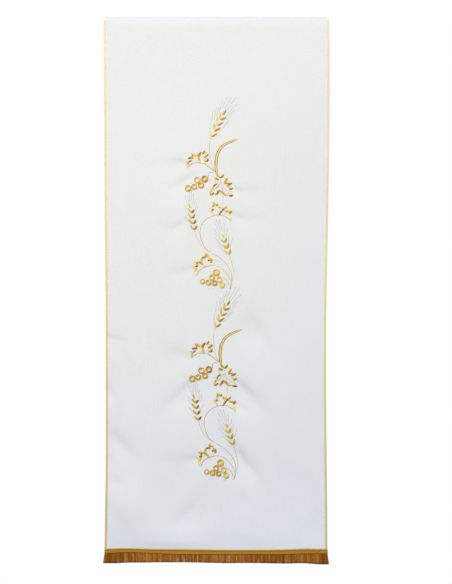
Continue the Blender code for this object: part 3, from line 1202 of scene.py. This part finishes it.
VINE_LEAF = (
    Stroke(((-30.0, 257.0), (-27.2, 252.3), (-23.7, 247.8), (-19.6, 244.5)), 1.6, -0.10),
    Stroke(((-20.4, 244.3), (-16.5, 247.5), (-12.3, 252.8)), 1.6, -0.05),
    Stroke(((-23.5, 240.9), (-28.5, 242.2), (-34.4, 244.8)), 1.9, -0.15),
    Stroke(((-33.9, 244.4), (-32.0, 238.5), (-28.5, 232.6)), 1.35, 0.20),
    Stroke(((-28.2, 230.8), (-34.2, 227.4), (-37.8, 218.0)), 1.5, -0.05),
    Stroke(((-42.8, 225.6), (-40.4, 221.5), (-37.2, 218.0)), 1.3, 0.15),
    Stroke(((-39.2, 217.6), (-42.0, 213.6), (-43.8, 209.0)), 1.8, 0.25),
    Stroke(((-43.9, 209.0), (-40.0, 207.4), (-34.4, 212.2)), 1.5, -0.05),
    Stroke(((-33.8, 212.0), (-31.6, 208.8), (-28.8, 206.4)), 1.3, 0.10),
    Stroke(((-29.8, 206.8), (-26.6, 211.2), (-22.0, 218.4)), 1.7, -0.10),
    Stroke(((-23.0, 217.8), (-16.0, 212.6), (-8.0, 205.2)), 1.95, -0.15),
    Stroke(((-10.8, 210.8), (-4.0, 206.8), (0.4, 205.4)), 1.2, 0.20),
    Stroke(((-1.8, 205.8), (3.2, 205.0), (8.2, 205.4)), 1.6, -0.30),
    Stroke(((7.6, 205.0), (4.6, 211.6), (-1.0, 217.8)), 1.9, 0.25),
    Stroke(((-1.0, 216.8), (2.6, 219.6), (7.3, 222.1)), 1.5, 0.0),
    Stroke(((4.8, 221.6), (-1.4, 224.4), (-7.6, 228.5)), 1.5, 0.30),
    Stroke(((-6.0, 226.8), (-0.6, 230.0), (5.2, 233.6)), 1.9, 0.05),
    Stroke(((-0.6, 233.3), (-6.0, 233.0), (-11.8, 231.9)), 1.1, 0.10),
    Stroke(((-12.0, 231.0), (-8.8, 237.6), (-4.2, 243.5)), 1.8, 0.10),
    Stroke(((-7.8, 242.2), (-10.6, 247.0), (-12.4, 252.8)), 1.15, 0.30),
)
UPPER_LEAVES = (
    Stroke(((-65.5, 277.8), (-71.1, 284.0), (-73.0, 290.5), (-71.0, 297.6)), 1.9, 0.25),
    Stroke(((-64.4, 278.0), (-68.4, 284.8), (-68.9, 291.5), (-63.1, 301.6)), 2.0, -0.12),
    Stroke(((-73.6, 292.3), (-79.0, 295.5), (-85.4, 298.6)), 2.0, 0.0),
    Stroke(((-82.2, 295.0), (-82.1, 291.0), (-80.8, 287.2)), 1.3, -0.30),
    Stroke(((-80.4, 288.4), (-86.5, 288.6), (-92.6, 287.8)), 1.6, -0.10),
    Stroke(((-84.0, 283.1), (-88.0, 281.3), (-91.8, 278.7)), 1.25, -0.15),
    Stroke(((-97.4, 283.4), (-94.0, 281.6), (-90.4, 280.6)), 0.9, 0.30),
    Stroke(((-89.7, 281.8), (-92.8, 274.5), (-93.4, 267.0)), 1.85, 0.25),
    Stroke(((-60.5, 296.7), (-57.6, 300.4), (-54.0, 304.7)), 1.45, -0.05),
    Stroke(((-54.4, 304.4), (-52.4, 298.6), (-51.2, 292.3)), 1.3, 0.20),
    Stroke(((-52.0, 291.7), (-49.4, 294.2), (-47.2, 297.5)), 1.4, -0.15),
    Stroke(((-50.4, 291.8), (-53.2, 291.0), (-56.4, 289.3)), 1.6, 0.0),
    Stroke(((-54.6, 290.5), (-51.0, 288.8), (-47.9, 285.6)), 1.2, 0.15),
    Stroke(((-48.0, 287.6), (-48.6, 284.0), (-51.5, 280.3)), 1.7, -0.25),
    Stroke(((-50.2, 282.8), (-54.9, 281.0), (-53.2, 274.7)), 1.6, 0.25),
)
MIDDLE_LEAVES = (
    Stroke(((-36.4, 160.6), (-36.0, 165.6), (-39.6, 170.0), (-43.7, 174.6)), 1.6, 0.20),
    Stroke(((-42.0, 170.8), (-38.6, 172.6), (-35.1, 176.1)), 1.45, -0.15),
    Stroke(((-35.6, 174.6), (-37.8, 177.6), (-39.8, 181.4)), 1.3, 0.20),
    Stroke(((-39.4, 180.2), (-36.6, 181.6), (-34.6, 184.4)), 1.0, 0.10),
    Stroke(((-35.9, 181.4), (-35.4, 186.0), (-34.9, 190.8)), 2.0, 0.0),
    Stroke(((-33.7, 188.8), (-31.6, 186.0), (-29.3, 182.8)), 1.35, 0.0),
    Stroke(((-30.6, 182.9), (-28.0, 184.2), (-25.5, 186.7)), 1.4, -0.10),
    Stroke(((-26.4, 186.5), (-24.4, 182.6), (-21.7, 178.2)), 1.3, 0.15),
    Stroke(((-24.2, 179.8), (-22.4, 179.0), (-20.9, 177.8)), 1.5, -0.35),
    Stroke(((-17.6, 180.8), (-18.6, 176.0), (-17.9, 171.0)), 2.2, 0.25),
    Stroke(((-18.2, 173.0), (-20.8, 166.8), (-24.5, 161.4)), 1.45, 0.05),
    Stroke(((-22.8, 162.5), (-17.6, 171.2), (-10.7, 178.0)), 1.5, -0.20),
    Stroke(((-11.0, 175.8), (-8.6, 178.6), (-6.1, 181.9)), 1.45, 0.10),
    Stroke(((-10.8, 177.6), (-8.8, 171.8), (-3.0, 169.4)), 1.8, -0.05),
    Stroke(((-4.6, 169.4), (0.4, 169.8), (5.2, 171.4)), 1.85, 0.20),
    Stroke(((4.8, 170.8), (1.8, 167.4), (-1.6, 164.4)), 1.45, -0.10),
    Stroke(((-2.8, 166.2), (1.6, 158.4), (2.8, 148.2)), 1.9, 0.25),
)
LOWER_LEAVES = (
    Stroke(((-62.0, 56.4), (-62.3, 62.0), (-61.7, 67.6)), 1.8, 0.05),
    Stroke(((-62.0, 67.4), (-57.6, 68.0), (-52.6, 67.8)), 1.45, -0.25),
    Stroke(((-53.8, 66.8), (-52.8, 72.0), (-51.9, 77.9)), 2.1, -0.05),
    Stroke(((-51.4, 76.0), (-48.2, 72.6), (-44.2, 69.3)), 1.5, 0.0),
    Stroke(((-44.6, 70.4), (-44.8, 66.6), (-46.8, 61.6)), 1.3, 0.15),
    Stroke(((-48.4, 61.4), (-46.6, 61.7), (-45.0, 62.6)), 1.5, -0.35),
    Stroke(((-45.4, 62.0), (-41.8, 63.4), (-38.0, 64.2)), 1.8, 0.15),
    Stroke(((-38.6, 63.9), (-40.2, 60.0), (-43.0, 56.4)), 1.5, -0.05),
    Stroke(((-43.9, 58.6), (-43.4, 54.4), (-40.7, 50.3)), 1.7, 0.25),
    Stroke(((-54.7, 46.4), (-54.9, 49.2), (-55.3, 52.0)), 1.3, 0.10),
    Stroke(((-55.2, 48.6), (-61.6, 55.4), (-70.1, 58.4)), 1.85, -0.10),
    Stroke(((-68.0, 57.2), (-73.0, 58.0), (-79.2, 59.6)), 1.8, 0.20),
    Stroke(((-70.5, 58.0), (-71.8, 53.4), (-69.8, 49.1)), 1.6, -0.20),
    Stroke(((-69.7, 50.0), (-73.2, 48.6), (-76.8, 47.8)), 1.4, -0.25),
    Stroke(((-73.2, 43.6), (-79.0, 46.6), (-83.8, 51.0)), 2.1, 0.30),
    Stroke(((-72.2, 46.0), (-76.6, 38.0), (-73.0, 26.9)), 2.0, 0.30),
)
GRAPES = (
    Grape((-54.9, 241.6), 7.8, 2.6, 60, rings=2, tone=-0.20),
    Grape((-71.3, 239.4), 7.4, 2.2, -60, rings=2, tone=0.00),
    Grape((-63.1, 227.8), 6.9, 2.2, -20, rings=2, tone=-0.10),
    Grape((-78.1, 224.7), 6.8, 2.2, 140, rings=2, tone=-0.06),
    Grape((-91.4, 221.2), 7.4, 2.3, 120, rings=2, tone=-0.04),
    Grape((-28.8, 34.8), 7.8, 2.5, 0, rings=3, tone=0.04),
    Grape((-38.6, 23.8), 6.9, 3.9, 60, tone=0.02),
    Grape((-22.0, 20.0), 7.0, 3.8, 0, tone=0.16),
    Grape((-59.6, 15.1), 6.2, 3.0, 150, tone=0.04),
    Grape((-46.6, 12.7), 6.7, 2.7, 30, rings=2, tone=0.00),
    Grape((-33.0, 11.0), 6.6, 4.2, 200, tone=-0.10),
    Grape((-16.4, 7.0), 6.9, 2.1, 0, rings=3, tone=0.12),
)
BLADE = (
    (-26.8, 247.0), (-28.2, 253.7), (-30.0, 268.6), (-29.6, 284.0),
    (-26.2, 299.0), (-19.0, 310.9), (-8.0, 319.8), (5.2, 325.4), (18.6, 330.4),
)
STEMS = (
    Stroke(
        ((-39.6, 336), (-42.3, 328), (-44.7, 307), (-42.3, 287.6), (-36.8, 266), (-31.5, 257)),
        0.50, 0.22,
    ),
    Stroke(((-30, 256.5), (-41, 264.5), (-49, 271), (-55.8, 275.3)), 0.75, 0.05),
    Stroke(((-55.8, 275.5), (-62.5, 277.2), (-71.5, 277.9), (-80.5, 277.2)), 0.50, 0.0),
    Stroke(((-80.5, 277.2), (-86.8, 273.0), (-93.4, 267.3)), 0.70, -0.15),
    Stroke(((-35.9, 256.4), (-42.7, 256.6), (-47.0, 252.8), (-46.9, 245.0)), 0.50, -0.10),
    Stroke(((-15.0, 207), (-14.4, 198), (-14.4, 190), (-16.4, 180)), 0.50, 0.30),
    Stroke(
        (
            (1.5, 150.0), (-3.5, 154.9), (-10.5, 159.5), (-17.4, 161.6), (-27, 162.3), (-34.3, 161.3),
            (-42.7, 157.9), (-54.5, 150.0), (-62.2, 138.9), (-65.5, 127.0), (-64.6, 115.2), (-60.4, 101.7),
            (-54.5, 89.7), (-41, 78.4),
        ),
        0.58, -0.02,
    ),
    Stroke(
        ((-41, 78.4), (-26.6, 70.6), (-13.9, 60.4), (-2.9, 47.8), (3.1, 34.4), (4.6, 23.9), (4, 12.8)),
        0.60, 0.12,
    ),
    Stroke(((4.1, 13.5), (2.9, 6.5), (0.2, -1.5)), 0.95, 0.05),
    Stroke(((-77.9, 129.5), (-74.8, 117.6), (-68.9, 105), (-60.4, 92.3), (-52.2, 84.6)), 0.45, 0.16),
    Stroke(((-0.9, 75), (3.4, 61), (7.3, 45.8), (9.1, 33), (6.8, 22.1), (4, 12.8)), 0.50, 0.20),
    Stroke(((-72.8, 27.6), (-65.7, 40.1), (-57.4, 45.9), (-54.9, 46.9)), 0.65, -0.10),
    Stroke(((-54.9, 47.1), (-50, 48.4), (-44.0, 49.4)), 0.65, -0.25),
    Stroke(((-44.0, 50.2), (-38, 51.0), (-31.0, 50.2)), 0.75, 0.15),
    Stroke(((-31.0, 50.2), (-20.6, 46.2), (-9.7, 36.9), (-2.9, 27.2), (2.4, 14.0)), 0.55, 0.10),
    Stroke(((-17.5, 24.6), (-8.9, 19.2), (-2.9, 11.2), (-1.4, 3.5)), 0.50, 0.0),
)
VEINS_AND_SHADOW_DASHES = (
    Stroke(((-19.6, 232.9), (-27.4, 225.0), (-34.1, 216.0)), 0.78, -0.42),
    Stroke(((-17.2, 229.5), (-24.6, 222.0), (-30.2, 214.2)), 0.34, 0.05),
    Stroke(((-21.0, 241.5), (-17.6, 230), (-16.1, 220), (-14.8, 206)), 0.42, 0.10),
    Stroke(((-16.1, 223.4), (-9.5, 219.2), (-2.3, 211.8)), 0.44, 0.00),
    # Painted shadow: four short dark dashes below the lower berries, thin thread laid where small puckers
    # shade the cloth
    Stroke(((-58.9, 3.9), (-54.0, 1.8)), 0.24, 0.0),
    Stroke(((-48.0, 1.5), (-44.5, -1.5)), 0.24, 0.0),
    Stroke(((-40.0, 2.0), (-37.0, -1.2)), 0.24, 0.0),
    Stroke(((-24.0, -3.0), (-18.0, -3.6)), 0.24, 0.0),
    Stroke(((-61.5, 292.0), (-60.4, 287), (-59.6, 282.5)), 0.22, 0.20),
    Stroke(((-58.0, 294.0), (-57.0, 289), (-57.6, 284)), 0.22, 0.20),
    Stroke(((-31.8, 180.0), (-30.4, 174.0), (-29.4, 166.5)), 0.24, 0.25),
    Stroke(((-28.5, 176.0), (-27.2, 170.0)), 0.22, 0.25),
    Stroke(((-53.0, 64.0), (-53.4, 59.0), (-52.6, 54.0)), 0.22, 0.25),
)


def bearing_to(degrees: float, length: float) -> Array:
    """The step of a length at a bearing, clockwise from up, as (right, up)."""
    turn = math.radians(degrees)
    return np.array([length * math.sin(turn), length * math.cos(turn)])


def bowed(start: Array, end: Array, bow: float) -> tuple:
    """A line between two points whose middle is moved aside, to its left, by a share of its length."""
    aside = np.array([start[1] - end[1], end[0] - start[0]])
    return tuple(start), tuple((start + end) / 2 + bow * aside), tuple(end)


# How much wider a column is sewn than its stroke, and how far its painted sheen, a tone that goes with its
# direction, reaches
WIDER = {Taper.LENS: 1.44, Taper.GRAIN: 1.14, Taper.BLADE: 1.0, Taper.ROUND: 1.0}
PAINTED_SHEEN = {Taper.LENS: 0.24, Taper.GRAIN: 0.24, Taper.BLADE: 0.0, Taper.ROUND: 0.12}


@dataclass(frozen=True)
class Embroidery:
    """One repeat of the wheat and vine, in raised gold thread with fine stems and awns."""

    drape: Drape
    place: str
    across: float
    depth: float
    seed: int
    shade: float = 0.0
    pitch: float = 0.80
    ridge: float = 0.12
    high: float = 1.05
    blade_high: float = 0.60
    cord_high: float = 0.42
    run_stitch: float = 2.4
    run_high: float = 0.26
    sunk: float = 0.12
    ragged: float = 0.10
    # Painted sheen: the column direction, in degrees, at which satin is painted darkest
    darkest_sheen_angle: float = 30.0
    mean_tone: float = 0.52
    wander: float = 0.10
    wander_pitch: float = 5.0
    thread_tone: float = 0.06
    berry_uneven: float = 0.22
    berry_overlap: float = 1.02
    ring_paler: float = 0.24
    grain_bow: float = 0.035
    tip_lower: float = 0.15
    awn_half: float = 0.50

    def gold(self) -> ThreadFinish:
        """Gold thread, from brown gold to pale yellow. Its low tones are painted shade where its stitches
        turn from the light, and its high ones painted sheen.
        """
        stops = (
            (0.0, (0.200, 0.085, 0.006)),
            (0.25, (0.440, 0.222, 0.013)),
            (0.55, (0.680, 0.440, 0.054)),
            (0.80, (0.850, 0.715, 0.240)),
            (1.0, (0.920, 0.860, 0.480)),
        )
        return ThreadFinish("gold_embroidery_thread", stops, 0.40, 0.00045, 0.00002, (1.0, 0.80, 0.35))

    def grey(self) -> ThreadFinish:
        """Thin grey-beige thread, for the awns."""
        stops = ((0.0, (0.40, 0.36, 0.30)), (1.0, (0.60, 0.56, 0.50)))
        return ThreadFinish("grey_awn_thread", stops, 0.60, 0.00045, 0.00002, (1.0, 0.95, 0.85))

    def tan(self) -> ThreadFinish:
        """Thin tan thread, from olive brown to pale beige."""
        stops = (
            (0.0, (0.150, 0.110, 0.060)),
            (0.25, (0.260, 0.180, 0.070)),
            (0.45, (0.460, 0.300, 0.070)),
            (0.65, (0.660, 0.480, 0.130)),
            (1.0, (0.860, 0.760, 0.420)),
        )
        return ThreadFinish("tan_stem_thread", stops, 0.55, 0.00045, 0.00002, (1.0, 0.92, 0.75))

    def build(self) -> list[bpy.types.Object]:
        """Sews the satin columns, the fine lines whose ends they cover, the awns and the berries.

        Returns:
            The satin, the fine lines and the awns.
        """
        chance = np.random.default_rng(self.seed)
        satin = [*self.blade(), *VINE_LEAF, *UPPER_LEAVES, *MIDDLE_LEAVES, *LOWER_LEAVES]
        lines = [stroke._replace(stitch=Stitch.CORD, taper=Taper.ROUND) for stroke in STEMS]
        lines += [stroke._replace(stitch=Stitch.RUN, taper=Taper.ROUND) for stroke in VEINS_AND_SHADOW_DASHES]
        awns = []
        for ear in EARS:
            satin += self.grains(ear)
            awns += [Stroke(awn, self.awn_half, 0.0, Taper.ROUND, Stitch.RUN) for awn in ear.awns]
        columns, threads, hairs = Shape(), Shape(), Shape()
        for shape, strokes in ((columns, satin), (threads, lines), (hairs, awns)):
            for stroke in strokes:
                self.sew(shape, stroke, chance)
        for grape in GRAPES:
            self.berry(columns, grape, chance)
        return [
            columns.piece(f"embroidery_{self.place}", self.gold(), "gold_thread", []),
            threads.piece(f"fine_stitching_{self.place}", self.tan(), "gold_thread", []),
            hairs.piece(f"awns_{self.place}", self.grey(), "gold_thread", []),
        ]

    def grains(self, ear: Ear) -> list[Stroke]:
        """An ear's grains, each slightly bowed outwards: pairs a spacing apart along the axis, and the
        one at its tip."""
        foot = np.array(ear.foot)
        pairs = [(number, grain) for side in (ear.left, ear.right) for number, grain in enumerate(side)]
        pairs.append((len(ear.left) - self.tip_lower, ear.tip))
        strokes = []
        for number, grain in pairs:
            start = foot + bearing_to(ear.lean, ear.spacing * number)
            bow = self.grain_bow if grain.bearing < ear.lean else -self.grain_bow
            tip = start + bearing_to(grain.bearing, grain.length)
            strokes.append(Stroke(bowed(start, tip, bow), grain.half, ear.tone, Taper.GRAIN))
        return strokes

    def blade(self) -> list[Stroke]:
        """Three columns side by side along one curve: gold outside, pale in the middle, brown inside."""
        path = np.array(BLADE)
        step = np.gradient(path, axis=0)
        aside = np.stack([-step[:, 1], step[:, 0]], -1) / np.linalg.norm(step, axis=1)[:, None]
        spread = np.interp(np.arange(len(path)), [0, 1, 3, 7, 8], [0.25, 0.65, 1.0, 0.75, 0.2])[:, None]
        columns = ((2.1, 1.50, -0.12), (-0.2, 1.45, 0.48), (-2.3, 0.95, -0.22))
        return [
            Stroke(tuple(map(tuple, path + aside * spread * shift)), half, tone, Taper.BLADE)
            for shift, half, tone in columns
        ]

    def half_widths(self, taper: Taper, t: Array) -> Array:
        """A column's half width along it, as a share of its greatest."""
        if taper is Taper.LENS:
            return 0.30 + 0.70 * np.sin(np.pi * t) ** 0.55
        if taper is Taper.GRAIN:
            return 0.22 + 0.78 * np.sin(np.pi * t**0.80) ** 0.65
        if taper is Taper.BLADE:
            return 0.30 + 0.70 * np.minimum(ease(t / 0.15), 1 - t**5)
        return 0.35 + 0.65 * np.minimum(ease(t / 0.03), ease((1 - t) / 0.03))

    def sew(self, shape: Shape, stroke: Stroke, chance: np.random.Generator) -> None:
        """Lays one stroke along the smooth curve through its path's points.

        Args:
            shape: what the stroke is added to.
            stroke: the stroke.
            chance: for ragged edges and the tone of each thread.
        """
        knots = np.array(stroke.path, float)
        lengths = np.linalg.norm(np.diff(knots, axis=0), axis=1)
        reached = np.concatenate([[0], np.cumsum(lengths)])
        row = self.run_stitch / 4 if stroke.stitch is Stitch.RUN else self.pitch / 2
        count = max(5, 2 * int(reached[-1] / row / 2) + 1)
        s = np.linspace(0, reached[-1], count)
        line = np.stack([curve_through(s, reached, knots[:, 0]), curve_through(s, reached, knots[:, 1])], -1)
        half = stroke.half * self.half_widths(stroke.taper, s / reached[-1]) * WIDER[stroke.taper]
        self.column(shape, stroke, line, half, s, chance)

    def berry(self, shape: Shape, grape: Grape, chance: np.random.Generator) -> None:
        """Lays a berry's rings: circles whose band is thicker on one side, each inside the last.

        Args:
            shape: what the rings are added to.
            grape: the berry's sizes.
            chance: for ragged edges and the tone of each thread.
        """
        for number in range(grape.rings):
            outer = grape.radius - number * grape.thick
            count = 2 * max(6, int(math.pi * outer * 1.7 / self.pitch)) + 1
            turns = np.linspace(0, 2 * math.pi * self.berry_overlap, count)
            uneven = self.berry_uneven if number == 0 else 0.0
            thick = grape.thick * (1 + uneven * np.cos(turns - math.radians(grape.bearing)))
            radius = outer - thick / 2
            line = np.array(grape.centre) + radius[:, None] * np.stack([np.sin(turns), np.cos(turns)], -1)
            stroke = Stroke((), 1.0, grape.tone + self.ring_paler * number, Taper.ROUND)
            self.column(shape, stroke, line, thick / 2, turns * outer, chance)

    def column(
        self, shape: Shape, stroke: Stroke, line: Array, half: Array, s: Array, chance: np.random.Generator
    ) -> None:
        """Adds a column of stitches along a line that is already sampled: rows of points across it, two for
        each thread, one on the thread's back and one in the groove beside it, domed from side to side. Satin
        is painted darkest where the column runs at the darkest angle and palest square to it: painted sheen,
        as its threads turn from the light above or catch it.

        Args:
            shape: what the column is added to.
            stroke: its stitch and tone.
            line: the points of its middle, one for each row.
            half: its half width at each row.
            s: the way along it at each row.
            chance: for ragged edges and the tone of each thread.
        """
        step = np.gradient(line, axis=0)
        step /= np.linalg.norm(step, axis=1)[:, None]
        aside = np.stack([-step[:, 1], step[:, 0]], -1)
        odd = np.arange(len(line)) % 2 == 1
        if stroke.stitch is Stitch.RUN:
            v = np.array([-1.0, 0.0, 1.0])
            hump = 0.70 + 0.30 * np.abs(np.sin(np.pi * s / self.run_stitch))
            heights = self.run_high * hump[:, None] * np.array([0.0, 1.0, 0.0])
            heights[:, ::2] = -self.sunk
            edges = half
        else:
            top = np.array([-1.0, -0.84, -0.46, 0.0, 0.46, 0.84, 1.0])
            if stroke.stitch is Stitch.CORD:
                top = np.array([-1.0, -0.55, 0.55, 1.0])
            v = np.concatenate([top, [1.0, -1.0]])
            high = self.cord_high if stroke.stitch is Stitch.CORD else self.high
            if stroke.taper is Taper.BLADE:
                high = self.blade_high
            fullness = np.minimum(1, half / 0.9)
            heights = (high * fullness - self.ridge * odd)[:, None] * np.sqrt(np.maximum(1 - v**2, 0))
            heights[:, -2:] = -self.sunk
            edges = half + self.ragged * chance.uniform(-1, 1, len(line)) * np.minimum(1, half)
        flat = line[:, None] + aside[:, None] * (edges[:, None] * v)[..., None]
        real = (flat + np.array([self.across, -self.depth])) * MM
        across = self.drape.before_drawn_in(real[..., 0], -real[..., 1])
        rings = self.drape.front(across, -real[..., 1], self.drape.cloth_thick / 2 + heights * MM)
        threads = np.repeat(chance.normal(0, self.thread_tone, len(s) // 2 + 1), 2)[: len(s)]
        wander = self.wander * drift(s, self.wander_pitch, chance)
        tone = self.mean_tone + self.shade + stroke.tone + wander + threads
        if stroke.stitch is Stitch.SATIN:
            # Painted sheen: the satin's tone goes with the column's direction to the light above
            turn = np.arctan2(step[:, 1], step[:, 0]) - math.radians(self.darkest_sheen_angle)
            tone -= PAINTED_SHEEN[stroke.taper] * np.cos(2 * turn)
        tone = np.clip(tone, 0, 1)[:, None]
        grooves = odd & (stroke.stitch is Stitch.SATIN)
        shape.loft(rings[None], s[:, None] * MM, edges[:, None] * v * MM, tone, grooves[None])


class Lamp(NamedTuple):
    """A soft round lamp, turned to the middle of the cloth."""

    name: str
    place: tuple
    size: float
    power: float
    colour: tuple


@dataclass(frozen=True)
class Studio:
    """Camera at the photograph's angle, soft light, and a pale floor."""

    aim: tuple = (0.0210, -0.0106, -0.6095)
    distance: float = 5.0
    view_height: float = 1.2932
    sensor: float = 36.0
    lamps: tuple = (
        Lamp("upper_lamp", (0.00, -2.20, 2.60), 1.2, 80.6, (1.0, 0.918, 0.732)),
        Lamp("left_lamp", (-0.36, -1.40, -0.40), 0.6, 5.8, (1.0, 0.764, 0.254)),
    )
    sky: tuple = (0.612, 0.730, 1.0)
    sky_strength: float = 0.652
    sky_gradient: float = 0.85
    floor_depth: float = -1.90
    floor_radius: float = 0.9
    floor_rings: int = 10
    floor_sides: int = 64

    def build(self) -> None:
        """Makes the camera, the lights, the world and the floor."""
        scene = bpy.context.scene
        scene.view_settings.view_transform = "Standard"
        self.camera(scene)
        for lamp in self.lamps:
            self.hang_lamp(scene, lamp)
        self.world(scene)
        self.floor(scene)

    def camera(self, scene: bpy.types.Scene) -> None:
        """A long lens straight on, whose field is the photograph's height at the cloth."""
        data = bpy.data.cameras.new("camera")
        data.sensor_width = self.sensor
        data.lens = self.sensor * self.distance / self.view_height
        made = bpy.data.objects.new("camera", data)
        made.location = (self.aim[0], self.aim[1] - self.distance, self.aim[2])
        made.rotation_euler = (math.pi / 2, 0, 0)
        scene.collection.objects.link(made)
        scene.camera = made

    def hang_lamp(self, scene: bpy.types.Scene, lamp: Lamp) -> None:
        """Makes one lamp and turns it to the point that the camera is aimed at."""
        data = bpy.data.lights.new(lamp.name, "AREA")
        data.shape = "DISK"
        data.size = lamp.size
        data.energy = lamp.power
        data.color = lamp.colour
        made = bpy.data.objects.new(lamp.name, data)
        made.location = lamp.place
        x, y, z = np.array(self.aim) - np.array(lamp.place)
        made.rotation_euler = (math.atan2(math.hypot(x, y), -z), 0, math.atan2(-x, y))
        scene.collection.objects.link(made)

    def world(self, scene: bpy.types.Scene) -> None:
        """Plain white to the camera. Everything else sees a cool light that is brighter above: its
        strength times 1 + gradient times the sine of the height angle."""
        world = bpy.data.worlds.new("studio")
        world.use_nodes = True
        tree = world.node_tree
        soft = tree.nodes["Background"]
        soft.inputs["Color"].default_value = (*self.sky, 1.0)
        direction = tree.nodes.new("ShaderNodeTexCoord")
        parts = tree.nodes.new("ShaderNodeSeparateXYZ")
        level = tree.nodes.new("ShaderNodeMath")
        level.operation = "MULTIPLY_ADD"
        level.inputs[1].default_value = self.sky_strength * self.sky_gradient
        level.inputs[2].default_value = self.sky_strength
        tree.links.new(direction.outputs["Generated"], parts.inputs[0])
        tree.links.new(parts.outputs["Z"], level.inputs[0])
        tree.links.new(level.outputs[0], soft.inputs["Strength"])
        white = tree.nodes.new("ShaderNodeBackground")
        white.inputs["Color"].default_value = (1.0, 1.0, 1.0, 1.0)
        path = tree.nodes.new("ShaderNodeLightPath")
        mix = tree.nodes.new("ShaderNodeMixShader")
        tree.links.new(path.outputs["Is Camera Ray"], mix.inputs[0])
        tree.links.new(soft.outputs[0], mix.inputs[1])
        tree.links.new(white.outputs[0], mix.inputs[2])
        tree.links.new(mix.outputs[0], tree.nodes["World Output"].inputs["Surface"])
        scene.world = world

    def floor(self, scene: bpy.types.Scene) -> None:
        """A round floor, below the photograph's view: rings about its middle, each a circle."""
        rings, sides = self.floor_rings, self.floor_sides
        turns = np.linspace(0, 2 * math.pi, sides, endpoint=False)
        radius = np.linspace(0.02, 1.0, rings)[:, None] * self.floor_radius
        x, y = radius * np.cos(turns), radius * np.sin(turns)
        points = np.stack([x, y, np.full_like(x, self.floor_depth)], -1).reshape(-1, 3)
        ring = np.arange(sides)
        after = np.roll(ring, -1)
        start = np.arange(rings - 1)[:, None] * sides
        quads = np.stack([start + ring, start + sides + ring, start + sides + after, start + after], -1)
        mesh = bpy.data.meshes.new("floor")
        mesh.from_pydata(points.tolist(), [], [*quads.reshape(-1, 4).tolist(), ring.tolist()])
        mesh.materials.append(FloorFinish("pale_floor").material())
        made = bpy.data.objects.new("floor", mesh)
        scene.collection.objects.link(made)


def main() -> None:
    logging.basicConfig(level=logging.INFO, format="%(name)s: %(message)s")
    drape = Drape()
    Studio().build()
    panel = ClothPanel(drape).build()
    heading = Heading(drape)
    # Painted light: the right tape stays paler further down than the left, for the brighter light falling on
    # that side
    right_tape_painted_lighter = TapeFinish("gold_tape_weave_painted_lighter", painted_light_fall=0.74)
    trims = [
        SideEdging(drape, side=Side.LEFT).build(),
        SideEdging(drape, side=Side.RIGHT, finish=right_tape_painted_lighter).build(),
        LowerEdging(drape).build(),
        heading.build(),
        BrushFringe(drape, heading).build(),
        *Embroidery(drape, "upper", across=29.0, depth=601.8, seed=21).build(),
        *Embroidery(drape, "lower", across=38.0, depth=1023.6, seed=22, shade=-0.10, awn_half=0.60).build(),
    ]


if __name__ == "__main__":
    main()
